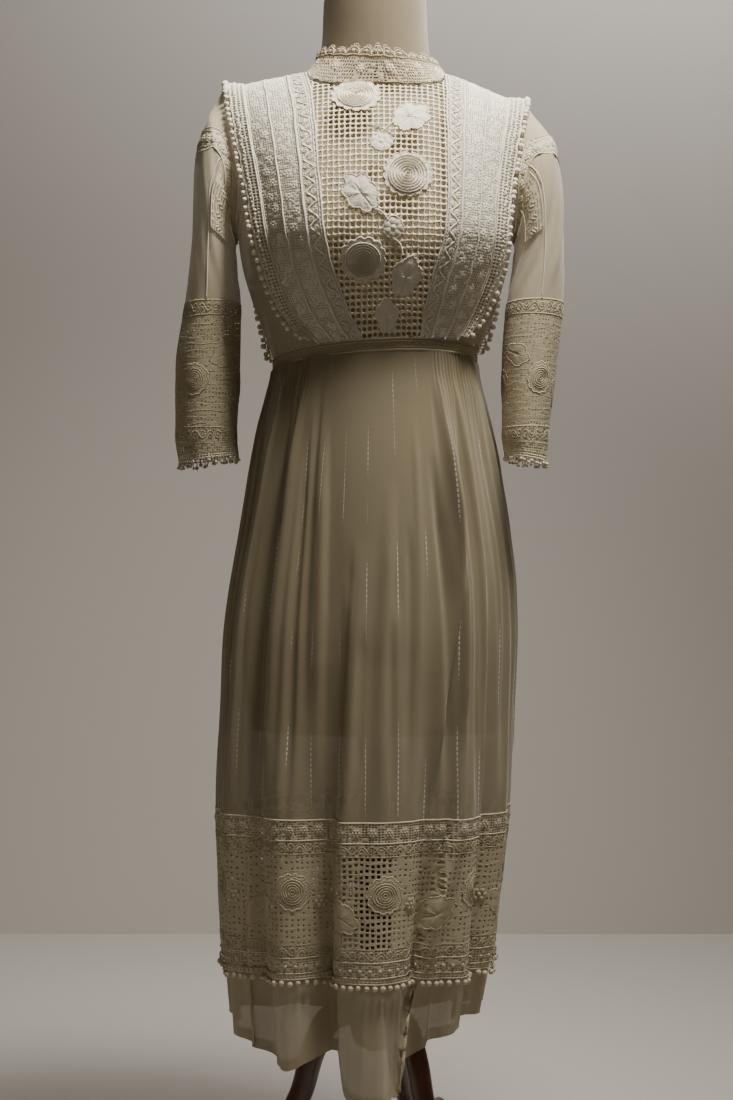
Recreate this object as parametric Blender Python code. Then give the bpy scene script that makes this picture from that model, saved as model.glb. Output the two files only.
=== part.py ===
# Lawn dress with a crochet yoke, bretelles and skirt band, on a limbless dress form with a tripod stand.
# Metres, +Z up. The dress faces -Y. The stand's post is the modelling axis until stand_at_origin().

import math

import bmesh
import bpy
import numpy as np
from mathutils import Vector
from mathutils.bvhtree import BVHTree

# Driving sizes
LAWN = 0.0012
LACE = 0.0015
NET = 0.0018
SEAM_GAP = 0.0003
SEAM_TRIM = 0.0003
BAND_HALF_HEIGHT = 0.0065
WAIST_MIDDLE = 0.9745
WAIST_SLOPE_ACROSS = 0.05
WAIST_SLOPE_BACK = -0.10
BUST_HEIGHT = 1.115
BLADE_HEIGHT = 1.180
RIDGE_Y = 0.005
NECK_CENTRE_X = 0.0015
NECK_HALF_WIDTH = 0.0825
NECK_FRONT = 0.062
NECK_BACK = 0.058
NECK_FRONT_SQUARENESS = 4.0
NECK_BACK_SQUARENESS = 2.0
COLLAR_TOP_X = 0.003
COLLAR_TOP_WIDTH = 0.0715
COLLAR_TOP_DEPTH = 0.0590
COLLAR_TOP_HEIGHT = 1.3385
COLLAR_INSET = 0.0016
COLLAR_SIDES = 36
SCALLOP_RISE = 0.0040
WAISTBAND_SIDES = 48
SLEEVE_SIDES = 16
ARMHOLE_SIDES = 20
RAIL_STEPS = 7
WAIST_STEPS = 3
SKIRT_SIDES = 96
BAND_SIDES = 60
FRINGE_BALL = 0.0060
FRINGE_LIFT = 0.0019
FRINGE_INSET = 0.0010
FRINGE_COUNT = 54
CUFF_BALL = 0.0055
BAND_BALL = 0.0065

# Ring at the waist seam: half width left, half width right, depth in front, depth behind, squareness
WAIST_RING = (0.1215, 0.1215, 0.1040, 0.0945, 2.1)
SKIRT_SQUARENESS = 2.1

# Share of the way up to the shoulder that lies below the bust or the blades
LOWER_SHARE = 0.42
ROUNDING = 1.7
RIDGE_GAP = 0.0015
PLACKET_LAP = 0.012
PLACKET_LIFT = 0.0020
ANGLE_POWER = 1.2
PANEL_BOW = 1.5

# Bodice: height, half width at the side
BODICE_SIDE = (
    (0.940, 0.1210),
    (0.970, 0.1215),
    (1.010, 0.1335),
    (1.050, 0.1480),
    (1.090, 0.1590),
    (1.120, 0.1630),
    (1.170, 0.1660),
    (1.220, 0.1740),
    (1.270, 0.1850),
    (1.300, 0.1920),
    (1.330, 0.1940),
)

# Bodice: height, depth in front, depth behind, squareness of the ring
BODICE_DEPTH = (
    (0.940, 0.1040, 0.0945, 2.10),
    (0.975, 0.1040, 0.0945, 2.10),
    (1.010, 0.1130, 0.0985, 2.15),
    (1.050, 0.1280, 0.1030, 2.25),
    (1.090, 0.1390, 0.1080, 2.35),
    (1.115, 0.1420, 0.1110, 2.40),
    (1.180, 0.1420, 0.1150, 2.40),
)

# Shoulder ridge: share of the half width, height. The viewer's right shoulder hangs lower than the left.
SHOULDER_RIDGE = (
    (-1.00, 1.296),
    (-0.95, 1.3005),
    (-0.75, 1.311),
    (-0.50, 1.320),
    (-0.30, 1.326),
    (0.00, 1.328),
    (0.30, 1.3255),
    (0.50, 1.3165),
    (0.75, 1.298),
    (0.95, 1.2835),
    (1.00, 1.279),
)

# Seams of the bretelles in front: height, left inner, left outer, right inner, right outer
FRONT_SEAMS = (
    (0.960, -0.010, -0.055, 0.046, 0.080),
    (0.985, -0.015, -0.064, 0.050, 0.090),
    (1.010, -0.027, -0.085, 0.054, 0.104),
    (1.050, -0.042, -0.106, 0.062, 0.122),
    (1.080, -0.052, -0.115, 0.071, 0.132),
    (1.110, -0.058, -0.123, 0.079, 0.136),
    (1.170, -0.064, -0.132, 0.083, 0.140),
    (1.235, -0.0695, -0.144, 0.083, 0.148),
    (1.270, -0.0735, -0.150, 0.0835, 0.154),
    (1.312, -0.0825, -0.157, 0.0845, 0.160),
)

# The same seams behind
BACK_SEAMS = (
    (0.960, -0.050, -0.092, 0.050, 0.094),
    (1.050, -0.056, -0.114, 0.060, 0.118),
    (1.120, -0.064, -0.126, 0.070, 0.128),
    (1.200, -0.070, -0.136, 0.076, 0.137),
    (1.270, -0.0755, -0.150, 0.0810, 0.152),
    (1.312, -0.0825, -0.157, 0.0845, 0.160),
)

# Where the two seams between the inner and outer ones lie, as shares of the way out
MIDDLE_SEAMS = (0.30, 0.67)

# Ball fringe: way along the bretelle from front waist to back waist, width of the band, how far it stands off
FRINGE_BAND = (
    (0.00, 0.008, 0.0056),
    (0.15, 0.014, 0.0058),
    (0.45, 0.016, 0.0062),
    (0.80, 0.018, 0.0068),
    (1.00, 0.020, 0.0070),
    (1.20, 0.016, 0.0070),
    (1.40, 0.015, 0.0072),
    (1.60, 0.018, 0.0085),
    (1.85, 0.024, 0.0120),
    (2.00, 0.024, 0.0130),
)

# Armhole: turn from the underarm (0) through the front (90) to the shoulder (180), share of the half width
# at the left and at the right, where the dress sits further out
ARMHOLE = (
    (0.0, 1.000, 1.000),
    (30.0, 0.982, 0.986),
    (60.0, 0.948, 0.958),
    (90.0, 0.932, 0.946),
    (135.0, 0.936, 0.950),
    (180.0, 0.948, 0.962),
)
UNDERARM_HEIGHT = 1.125

# Sleeves: station, outer x, outer height, inner x, inner height, centre y, half depth
LEFT_SLEEVE = (
    (1.0, 0.198, 1.272, 0.1660, 1.121, 0.000, 0.060),
    (2.0, 0.2075, 1.245, 0.1668, 1.116, -0.002, 0.061),
    (3.0, 0.2145, 1.212, 0.1668, 1.110, -0.004, 0.060),
    (4.0, 0.2165, 1.155, 0.1660, 1.098, -0.008, 0.057),
    (5.0, 0.2205, 1.096, 0.1640, 1.075, -0.012, 0.054),
    (6.0, 0.2265, 1.0415, 0.1600, 1.0415, -0.015, 0.051),
    (7.0, 0.2370, 0.965, 0.1610, 0.965, -0.018, 0.049),
    (8.0, 0.2370, 0.888, 0.1645, 0.888, -0.020, 0.047),
    (9.0, 0.2325, 0.852, 0.1625, 0.861, -0.020, 0.046),
)
RIGHT_SLEEVE = (
    (1.0, 0.1985, 1.258, 0.1660, 1.121, 0.000, 0.060),
    (2.0, 0.2120, 1.240, 0.1668, 1.116, -0.004, 0.061),
    (3.0, 0.2195, 1.206, 0.1668, 1.110, -0.008, 0.060),
    (4.0, 0.2240, 1.150, 0.1655, 1.098, -0.013, 0.057),
    (5.0, 0.2245, 1.096, 0.1620, 1.075, -0.019, 0.054),
    (6.0, 0.2225, 1.0415, 0.1560, 1.0415, -0.025, 0.051),
    (7.0, 0.2140, 0.965, 0.1500, 0.965, -0.032, 0.049),
    (8.0, 0.2040, 0.888, 0.1500, 0.888, -0.038, 0.047),
    (9.0, 0.2010, 0.852, 0.1530, 0.861, -0.040, 0.046),
)
ELBOW_SEAM = 6.0

# Cap lace, which runs level round the arm: turn, station of its top edge, station of its foot
CAP_LACE = (
    (0.0, 1.00, 2.00),
    (45.0, 0.70, 1.35),
    (90.0, 0.35, 0.75),
    (108.0, 0.35, 1.00),
    (126.0, 0.80, 2.00),
    (144.0, 1.40, 2.45),
    (162.0, 1.80, 2.80),
    (180.0, 2.00, 3.00),
)
UPPER_SLEEVE_KNEE = 4.0
UPPER_SHARES = (0.0, 0.33, 0.67, 1.0)
INSET_START = 0.02
SLEEVE_LAP = 0.0017
INSET_LIFT = 0.0023
INSET_TURNS = (54.0, 72.0, 90.0)
CUFF_EDGE = 9.0

# Skirt: height, half width left, half width right, depth in front, depth behind
SKIRT_RINGS = (
    (0.985, 0.1215, 0.1215, 0.1040, 0.0945),
    (0.954, 0.1260, 0.1250, 0.1070, 0.1000),
    (0.930, 0.1320, 0.1310, 0.1100, 0.1070),
    (0.894, 0.1410, 0.1380, 0.1140, 0.1170),
    (0.838, 0.1510, 0.1470, 0.1190, 0.1300),
    (0.774, 0.1610, 0.1570, 0.1230, 0.1400),
    (0.698, 0.1740, 0.1650, 0.1270, 0.1460),
    (0.648, 0.1800, 0.1660, 0.1290, 0.1480),
    (0.570, 0.1840, 0.1630, 0.1300, 0.1500),
    (0.450, 0.1910, 0.1580, 0.1320, 0.1520),
    (0.330, 0.1870, 0.1440, 0.1310, 0.1500),
    (0.258, 0.1830, 0.1350, 0.1290, 0.1460),
    (0.174, 0.1760, 0.1200, 0.1270, 0.1400),
    (0.120, 0.1720, 0.1140, 0.1250, 0.1380),
)

# Folds: bearing at the waist and at the hem in degrees, half width in degrees, rise at waist, hip and hem
# Bearing 0 is centre front and 90 is the wearer's left, which is the viewer's right.
SKIRT_FOLDS = (
    (4, -2, 18, 0.0000, 0.0030, 0.0200),
    (-19, -18, 9, 0.0000, -0.0030, -0.0240),
    (24, 20, 8, 0.0000, -0.0040, -0.0180),
    (-33, -32, 10, 0.0020, 0.0050, 0.0120),
    (-46, -46, 7, -0.0010, -0.0040, -0.0120),
    (-60, -62, 12, 0.0020, 0.0060, 0.0110),
    (-77, -79, 8, -0.0010, -0.0050, -0.0120),
    (36, 41, 11, 0.0020, 0.0050, 0.0140),
    (49, 56, 7, -0.0010, -0.0040, -0.0110),
    (62, 70, 10, 0.0020, 0.0055, 0.0090),
    (78, 85, 8, -0.0010, -0.0050, -0.0100),
    (96, 101, 11, 0.0020, 0.0060, 0.0120),
    (115, 117, 8, -0.0010, -0.0060, -0.0140),
    (133, 135, 13, 0.0020, 0.0070, 0.0150),
    (152, 153, 8, -0.0010, -0.0070, -0.0160),
    (171, 173, 13, 0.0020, 0.0070, 0.0150),
    (190, 192, 8, -0.0010, -0.0070, -0.0150),
    (208, 210, 12, 0.0020, 0.0070, 0.0140),
    (226, 229, 8, -0.0010, -0.0060, -0.0140),
    (245, 247, 12, 0.0020, 0.0060, 0.0130),
    (263, 264, 7, -0.0010, -0.0050, -0.0100),
)
WAIST_LEVEL = 0.96
HIP_LEVEL = 0.62
HEM_LEVEL = 0.20

# Gathers along the waist seam: first and last bearing of each gathered stretch
GATHERED_STRETCHES = (
    (-86.25, -33.75),
    (30.0, 78.75),
    (90.0, 262.5),
)
GATHER_DEPTH = 0.0013
GATHER_FOOT = 0.87

# Skirt band and flounce
BAND_TOP = 0.4430
TOP_STRIP_FOOT = 0.4200
NET_FOOT = 0.2866
BOTTOM_STRIP_FOOT = 0.2690
FLOUNCE_TOP = 0.2960
FLOUNCE_TUCK = 0.0036
BAND_FRINGE_LIFT = 0.0028
BAND_FRINGE_ROOT = 0.0045

# Hem: bearing, height
HEM = (
    (-90, 0.200),
    (-70, 0.190),
    (-56, 0.183),
    (-48, 0.171),
    (-40, 0.158),
    (-32, 0.157),
    (-24, 0.168),
    (-18, 0.176),
    (-12, 0.132),
    (-4, 0.123),
    (6, 0.125),
    (13, 0.141),
    (20, 0.168),
    (28, 0.187),
    (40, 0.198),
    (60, 0.207),
    (90, 0.206),
    (130, 0.185),
    (180, 0.166),
    (225, 0.180),
    (270, 0.200),
)

# Dress form: height, half width, depth in front, depth behind, squareness
FORM_RINGS = (
    (0.536, 0.1480, 0.0960, 0.1090, 2.1),
    (0.560, 0.1540, 0.1000, 0.1150, 2.1),
    (0.640, 0.1570, 0.1040, 0.1190, 2.1),
    (0.720, 0.1520, 0.1040, 0.1180, 2.1),
    (0.800, 0.1380, 0.1020, 0.1080, 2.1),
    (0.880, 0.1220, 0.0980, 0.0950, 2.1),
    (0.940, 0.1120, 0.0950, 0.0860, 2.1),
    (0.980, 0.1120, 0.0950, 0.0850, 2.1),
    (1.020, 0.1250, 0.1040, 0.0900, 2.2),
    (1.060, 0.1400, 0.1180, 0.0950, 2.3),
    (1.105, 0.1500, 0.1300, 0.1000, 2.35),
    (1.150, 0.1510, 0.1200, 0.1040, 2.4),
    (1.200, 0.1500, 0.0980, 0.1000, 2.5),
    (1.240, 0.1480, 0.0780, 0.0900, 2.5),
    (1.268, 0.1380, 0.0640, 0.0760, 2.4),
    (1.288, 0.1100, 0.0560, 0.0620, 2.3),
    (1.302, 0.0845, 0.0535, 0.0558, 2.1),
    (1.320, 0.0710, 0.0535, 0.0520, 2.0),
    (1.360, 0.0635, 0.0530, 0.0500, 2.0),
    (1.405, 0.0615, 0.0520, 0.0490, 2.0),
    (1.422, 0.0540, 0.0450, 0.0430, 2.0),
    (1.429, 0.0350, 0.0300, 0.0280, 2.0),
)
FORM_SIDES = 24

# Stand: height and radius down the turned post, which ends in the hub
POST_PROFILE = (
    (0.5357, 0.0190),
    (0.5000, 0.0190),
    (0.4900, 0.0150),
    (0.4000, 0.0165),
    (0.3000, 0.0200),
    (0.2600, 0.0150),
    (0.2503, 0.0150),
)
HUB_PROFILE = (
    (0.2500, 0.0230),
    (0.2420, 0.0290),
    (0.2250, 0.0300),
    (0.1750, 0.0300),
    (0.1600, 0.0240),
    (0.1520, 0.0120),
)
# Leg: distance out from the post, height, half width, half height
LEG_PATH = (
    (0.0304, 0.2000, 0.0110, 0.0170),
    (0.0550, 0.1900, 0.0120, 0.0165),
    (0.0760, 0.1500, 0.0130, 0.0150),
    (0.0890, 0.1050, 0.0125, 0.0140),
    (0.1150, 0.0640, 0.0120, 0.0130),
    (0.1600, 0.0360, 0.0110, 0.0110),
    (0.2150, 0.0205, 0.0100, 0.0080),
    (0.2500, 0.0180, 0.0090, 0.0060),
)
LEG_BEARINGS = (190, 310, 70)
PAD_RADIUS = 0.017
PAD_HEIGHT = 0.0115

# Worked flowers on the yoke: name, centre x, centre height, radius, petals, rings
YOKE_MOTIFS = (
    ("rose_upper", -0.021, 1.2725, 0.0185, 12, 3),
    ("rose_middle", 0.041, 1.178, 0.0205, 12, 3),
    ("rose_lower", -0.015, 1.080, 0.0200, 12, 3),
    ("leaf_upper", 0.040, 1.249, 0.0175, 5, 2),
    ("leaf_left", -0.015, 1.150, 0.0185, 5, 1),
    ("leaf_right", 0.036, 1.066, 0.0170, 5, 1),
    ("leaf_foot", 0.013, 1.018, 0.0130, 5, 1),
    ("flower_upper", 0.014, 1.212, 0.0100, 6, 1),
    ("flower_lower", 0.020, 1.112, 0.0090, 6, 1),
)
MOTIF_LIFT = 0.0009
MOTIF_THICKNESS = 0.0016
MOTIF_CAST = 0.02
PETAL_NOTCH = 0.86
RIDGE_RISE = 0.0014


def clear_scene():
    for item in list(bpy.data.objects):
        bpy.data.objects.remove(item, do_unlink=True)


def make_material(name, colour, roughness, metallic=0.0):
    material = bpy.data.materials.new(name)
    material.use_nodes = True
    shader = material.node_tree.nodes["Principled BSDF"]
    shader.inputs["Base Color"].default_value = (*colour, 1.0)
    shader.inputs["Roughness"].default_value = roughness
    shader.inputs["Metallic"].default_value = metallic
    return material


def smooth_curve(rows, column):
    """A curve through one column of a table against its first column. It never overshoots a row."""
    keys = [row[0] for row in rows]
    values = [row[column] for row in rows]
    if keys[0] > keys[-1]:
        keys.reverse()
        values.reverse()
    steps = [(values[i + 1] - values[i]) / (keys[i + 1] - keys[i]) for i in range(len(keys) - 1)]
    slopes = [steps[0]]
    for before, after in zip(steps, steps[1:]):
        same_way = before * after > 0
        slopes.append(2 * before * after / (before + after) if same_way else 0.0)
    slopes.append(steps[-1])

    def at(key):
        key = min(max(key, keys[0]), keys[-1])
        i = min(max(sum(1 for k in keys if k <= key) - 1, 0), len(keys) - 2)
        width = keys[i + 1] - keys[i]
        t = (key - keys[i]) / width
        start = (1 + 2 * t) * (1 - t) ** 2 * values[i] + t * (1 - t) ** 2 * width * slopes[i]
        end = t * t * (3 - 2 * t) * values[i + 1] + t * t * (t - 1) * width * slopes[i + 1]
        return start + end

    return at


def mix(a, b, share):
    return a + (b - a) * share


side_at = smooth_curve(BODICE_SIDE, 1)
front_at = smooth_curve(BODICE_DEPTH, 1)
back_at = smooth_curve(BODICE_DEPTH, 2)
squareness_at = smooth_curve(BODICE_DEPTH, 3)
ridge_at = smooth_curve(SHOULDER_RIDGE, 1)


def waist_height(x, y):
    """The waist seam's middle line, which rises to the front and to the viewer's right."""
    return WAIST_MIDDLE + WAIST_SLOPE_ACROSS * x + WAIST_SLOPE_BACK * y


def ring_share(s, squareness):
    return max(0.0, 1 - abs(s) ** squareness) ** (1 / squareness)


def bodice_foot(s, in_front):
    """The height where the bodice meets the waistband."""
    height = 0.98
    for _ in range(3):
        depth = front_at(height) if in_front else -back_at(height)
        y = -depth * ring_share(s, squareness_at(height))
        height = waist_height(s * side_at(height), y) + BAND_HALF_HEIGHT + SEAM_GAP
    return height


def bodice_point(s, tau):
    """A point of the bodice's middle surface. s runs from -1 at the left side to 1 at the right, and tau
    from 0 at the front waist, over the shoulder at 1, to 2 at the back waist."""
    in_front = tau <= 1
    way_up = tau if in_front else 2 - tau
    level = BUST_HEIGHT if in_front else BLADE_HEIGHT
    sign = -1 if in_front else 1
    depth_at = front_at if in_front else back_at
    if way_up <= LOWER_SHARE:
        z = mix(bodice_foot(s, in_front), level, way_up / LOWER_SHARE)
        y = sign * depth_at(z) * ring_share(s, squareness_at(z))
    else:
        turn = (way_up - LOWER_SHARE) / (1 - LOWER_SHARE) * math.pi / 2
        rise = math.sin(turn) ** (2 / ROUNDING)
        reach = math.cos(turn) ** (2 / ROUNDING) if turn < math.pi / 2 else 0.0
        z = mix(level, ridge_at(s), rise)
        y_level = sign * depth_at(level) * ring_share(s, squareness_at(level))
        y = mix(RIDGE_Y, y_level, reach)
    return np.array((s * side_at(z), y, z))


def tau_at_height(s, height, in_front):
    """The tau of the bodice's point at a height, from the front or from behind."""
    level = BUST_HEIGHT if in_front else BLADE_HEIGHT
    if height <= level:
        foot = bodice_foot(s, in_front)
        way_up = LOWER_SHARE * (height - foot) / (level - foot)
    else:
        rise = min(1.0, (height - level) / (ridge_at(s) - level))
        turn = math.asin(rise ** (ROUNDING / 2))
        way_up = LOWER_SHARE + (1 - LOWER_SHARE) * turn / (math.pi / 2)
    return way_up if in_front else 2 - way_up


def seam_curves(rows):
    return [smooth_curve(rows, column) for column in range(1, 5)]


FRONT_SEAM_CURVES = seam_curves(FRONT_SEAMS)
BACK_SEAM_CURVES = seam_curves(BACK_SEAMS)


def seam_x(side, share, tau):
    """The x of a bretelle seam. side is -1 for the viewer's left; share 0 is the inner seam, 1 the outer."""
    height = bodice_point(0.6 * side, tau)[2]
    curves = FRONT_SEAM_CURVES if tau <= 1 else BACK_SEAM_CURVES
    first = 0 if side < 0 else 2
    return mix(curves[first](height), curves[first + 1](height), share)


def trimmed(grid, first=True, last=True):
    """The grid with its first and last rows drawn back, which leaves the gap of a seam."""
    grid = np.array(grid, dtype=float)
    for wanted, edge, beside in ((first, 0, 1), (last, -1, -2)):
        if wanted:
            way = grid[beside] - grid[edge]
            grid[edge] += way / np.linalg.norm(way, axis=1, keepdims=True) * SEAM_TRIM
    return grid


def share_at_x(x, tau):
    """The s at which the bodice has an x, in metres."""
    s = x / side_at(BUST_HEIGHT)
    for _ in range(6):
        s = x / side_at(bodice_point(s, tau)[2])
    return s


def laid_on(surface, cells, steps, inside=(0.0, 0.0, 1.15)):
    """Points and outward normals of a surface at a grid of cells, each a pair of its two parameters."""
    points = []
    normals = []
    for row in cells:
        points.append([surface(*cell) for cell in row])
        normals.append([])
        for u, v in row:
            across = surface(u + steps[0], v) - surface(u - steps[0], v)
            along = surface(u, v + steps[1]) - surface(u, v - steps[1])
            normal = np.cross(across, along)
            normals[-1].append(normal / np.linalg.norm(normal))
    points = np.array(points)
    normals = np.array(normals)
    facing = np.sum(normals * (points - np.array(inside)), axis=2, keepdims=True)
    return points, normals * np.where(facing < 0, -1.0, 1.0)


def on_bodice(cells):
    return laid_on(bodice_point, cells, (0.004, 0.004))


def grid_normals(grid, closed):
    """Unit normals of a grid of points, from its neighbours along both ways."""
    along = np.gradient(grid, axis=0)
    if closed:
        across = (np.roll(grid, -1, axis=1) - np.roll(grid, 1, axis=1)) / 2
    else:
        across = np.gradient(grid, axis=1)
    normals = np.cross(along, across)
    lengths = np.linalg.norm(normals, axis=2, keepdims=True)
    return normals / np.maximum(lengths, 1e-12)


def outward(grid, closed, inside):
    normals = grid_normals(grid, closed)
    facing = np.sum(normals * (grid - np.array(inside)))
    return normals if facing > 0 else -normals


def finish_mesh(name, points, faces, material, edge_angle=40):
    mesh = bpy.data.meshes.new(name)
    mesh.from_pydata([tuple(float(c) for c in point) for point in points], [], faces)
    work = bmesh.new()
    work.from_mesh(mesh)
    bmesh.ops.recalc_face_normals(work, faces=work.faces)
    work.to_mesh(mesh)
    work.free()
    mesh.shade_smooth()
    mesh.set_sharp_from_angle(angle=math.radians(edge_angle))
    mesh.materials.append(material)
    item = bpy.data.objects.new(name, mesh)
    bpy.context.scene.collection.objects.link(item)
    return item


def wall(name, grid, thickness, material, closed=False, lift=0.0, normals=None, locks=None):
    """A cloth wall from a grid of middle points. locks, if given, is the ball's size: the last row's rim
    is drawn out into one four-sided lock for each of its faces."""
    grid = np.array(grid, dtype=float)
    if normals is None:
        normals = outward(grid, closed, (0.0, 0.0, 1.15))
    low = grid + normals * (lift - thickness / 2)
    high = grid + normals * (lift + thickness / 2)
    rows, columns = grid.shape[:2]
    points = list(low.reshape(-1, 3)) + list(high.reshape(-1, 3))
    half = rows * columns

    def index(row, column, top):
        return row * columns + column % columns + (half if top else 0)

    faces = []
    spans = columns if closed else columns - 1
    for row in range(rows - 1):
        for column in range(spans):
            for top in (False, True):
                faces.append((index(row, column, top), index(row, column + 1, top),
                              index(row + 1, column + 1, top), index(row + 1, column, top)))
    for column in range(spans):
        faces.append((index(0, column, False), index(0, column + 1, False),
                      index(0, column + 1, True), index(0, column, True)))
        root = (index(rows - 1, column, False), index(rows - 1, column + 1, False),
                index(rows - 1, column + 1, True), index(rows - 1, column, True))
        if locks:
            add_lock(points, faces, root, grid, normals, column, locks)
        else:
            faces.append(root)
    if not closed:
        for row in range(rows - 1):
            for column in (0, columns - 1):
                faces.append((index(row, column, False), index(row + 1, column, False),
                              index(row + 1, column, True), index(row, column, True)))
    return finish_mesh(name, points, faces, material)


def add_lock(points, faces, root, grid, normals, column, size):
    """One ball of a fringe: a four-sided lock that widens away from its root."""
    columns = grid.shape[1]
    near, far = column, (column + 1) % columns
    centre = sum(points[i] for i in root) / 4
    hang = (grid[-1, near] - grid[-2, near]) + (grid[-1, far] - grid[-2, far])
    hang = hang / np.linalg.norm(hang)
    run = grid[-1, far] - grid[-1, near]
    run = run / np.linalg.norm(run)
    out = normals[-1, near] + normals[-1, far]
    out = out / np.linalg.norm(out)
    end = centre + hang * size
    first = len(points)
    half = size / 2
    for run_way, out_way in ((-1, -1), (1, -1), (1, 1), (-1, 1)):
        points.append(end + run * half * 0.8 * run_way + out * half * out_way)
    for k in range(4):
        following = (k + 1) % 4
        faces.append((root[k], root[following], first + following, first + k))
    faces.append((first, first + 1, first + 2, first + 3))


def turned(name, profile, sides, material):
    """A turned solid from rows of height and radius, top to bottom."""
    points = []
    faces = []
    for height, radius in profile:
        for k in range(sides):
            turn = 2 * math.pi * k / sides
            points.append((radius * math.cos(turn), radius * math.sin(turn), height))
    for row in range(len(profile) - 1):
        for k in range(sides):
            a = row * sides + k
            b = row * sides + (k + 1) % sides
            faces.append((a, b, b + sides, a + sides))
    faces.append(tuple(range(sides)))
    faces.append(tuple(range(len(points) - sides, len(points))))
    return finish_mesh(name, points, faces, material)


def ring_point(turn, left, right, front, back, squareness):
    """A point of an oval ring. turn 0 is centre front, and a quarter turn is the viewer's right."""
    across = math.sin(turn)
    ahead = math.cos(turn)
    half_width = right if across > 0 else left
    depth = front if ahead > 0 else back
    x = half_width * math.copysign(abs(across) ** (2 / squareness), across)
    y = -depth * math.copysign(abs(ahead) ** (2 / squareness), ahead)
    return x, y


def make_form(material):
    """The limbless form: hips, waist, bust, shoulders and neck, closed by a low dome."""
    points = []
    faces = []
    for height, half_width, front, back, squareness in FORM_RINGS:
        for k in range(FORM_SIDES):
            turn = 2 * math.pi * k / FORM_SIDES
            x, y = ring_point(turn, half_width, half_width, front, back, squareness)
            points.append((x, y, height))
    for row in range(len(FORM_RINGS) - 1):
        for k in range(FORM_SIDES):
            a = row * FORM_SIDES + k
            b = row * FORM_SIDES + (k + 1) % FORM_SIDES
            faces.append((a, b, b + FORM_SIDES, a + FORM_SIDES))
    faces.append(tuple(range(FORM_SIDES)))
    faces.append(tuple(range(len(points) - FORM_SIDES, len(points))))
    return finish_mesh("dress_form", points, faces, material)


def make_leg(number, bearing, material):
    """A curved leg: an eight-sided section swept along the leg's path."""
    sides = 8
    out = np.array((math.cos(math.radians(bearing)), math.sin(math.radians(bearing)), 0.0))
    across = np.array((-out[1], out[0], 0.0))
    up = np.array((0.0, 0.0, 1.0))
    path = [out * row[0] + up * row[1] for row in LEG_PATH]
    points = []
    faces = []
    for i, row in enumerate(LEG_PATH):
        ahead = path[min(i + 1, len(path) - 1)] - path[max(i - 1, 0)]
        ahead = out if i == 0 or i == len(path) - 1 else ahead / np.linalg.norm(ahead)
        rise = np.cross(ahead, across)
        for k in range(sides):
            turn = 2 * math.pi * (k + 0.5) / sides
            points.append(path[i] + across * row[2] * math.cos(turn) + rise * row[3] * math.sin(turn))
    for row in range(len(path) - 1):
        for k in range(sides):
            a = row * sides + k
            b = row * sides + (k + 1) % sides
            faces.append((a, b, b + sides, a + sides))
    faces.append(tuple(range(sides)))
    faces.append(tuple(range(len(points) - sides, len(points))))
    finish_mesh(f"stand_leg_{number}", points, faces, material)
    pad = turned(f"stand_pad_{number}", ((PAD_HEIGHT, PAD_RADIUS * 0.8), (0.0, PAD_RADIUS)), 12, material)
    pad.location = out * (LEG_PATH[-1][0] - PAD_RADIUS * 0.5)


def bretelle_cells(side, inner_share, outer_share, stations):
    """Cells of a bretelle strip between two seams: three rows across, one cell for each station."""
    cells = []
    for share in (0.0, 0.5, 1.0):
        row = []
        for tau in stations:
            inner = seam_x(side, inner_share, tau)
            outer = seam_x(side, outer_share, tau)
            row.append((share_at_x(mix(inner, outer, share), tau), tau))
        cells.append(row)
    return cells


def make_bretelles(materials):
    stations = [k / RAIL_STEPS for k in range(2 * RAIL_STEPS + 1)]
    edges = (0.0, *MIDDLE_SEAMS, 1.0)
    names = ("scroll_strip", "lace_strip_inner", "lace_strip_outer")
    for side, word in ((-1, "left"), (1, "right")):
        for name, inner, outer in zip(names, edges, edges[1:]):
            grid, normals = on_bodice(bretelle_cells(side, inner, outer, stations))
            wall(f"{name}_{word}", trimmed(grid), LACE, materials["lace"], normals=normals)
        make_ball_fringe(side, word, materials["lace"])


def on_straight_runs(side, stations):
    """Points and normals beside the outer seam, on the straight runs between the side panel's corners."""
    corners = [k / RAIL_STEPS for k in range(2 * RAIL_STEPS + 1)]
    row = [(share_at_x(seam_x(side, 1.0, tau) + side * FRINGE_INSET, tau), tau) for tau in corners]
    corner_points, corner_normals = on_bodice([row])
    points = []
    normals = []
    for tau in stations:
        first = min(int(tau * RAIL_STEPS), 2 * RAIL_STEPS - 1)
        share = tau * RAIL_STEPS - first
        points.append(mix(corner_points[0, first], corner_points[0, first + 1], share))
        normal = mix(corner_normals[0, first], corner_normals[0, first + 1], share)
        normals.append(normal / np.linalg.norm(normal))
    return np.array(points), np.array(normals)


def make_ball_fringe(side, word, material):
    """The outermost strip, which lies over the lawn and lifts off it towards its balls."""
    width_at = smooth_curve(FRINGE_BAND, 1)
    lift_at = smooth_curve(FRINGE_BAND, 2)
    stations = [mix(0.03, 1.97, k / FRINGE_COUNT) for k in range(FRINGE_COUNT + 1)]
    shares = (0.0, 0.5, 1.0)
    cells = []
    for share in shares:
        row = []
        for tau in stations:
            inner = seam_x(side, 1.0, tau) + side * FRINGE_INSET
            x = inner + side * (width_at(tau) - FRINGE_BALL) * share
            row.append((share_at_x(x, tau), tau))
        cells.append(row)
    grid, normals = on_bodice(cells)
    grid[0], normals[0] = on_straight_runs(side, stations)
    for row, share in enumerate(shares):
        for k, tau in enumerate(stations):
            grid[row, k] += normals[row, k] * mix(FRINGE_LIFT, lift_at(tau), share)
    wall(f"ball_fringe_{word}", grid, LACE, material, normals=normals, locks=FRINGE_BALL)


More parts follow.
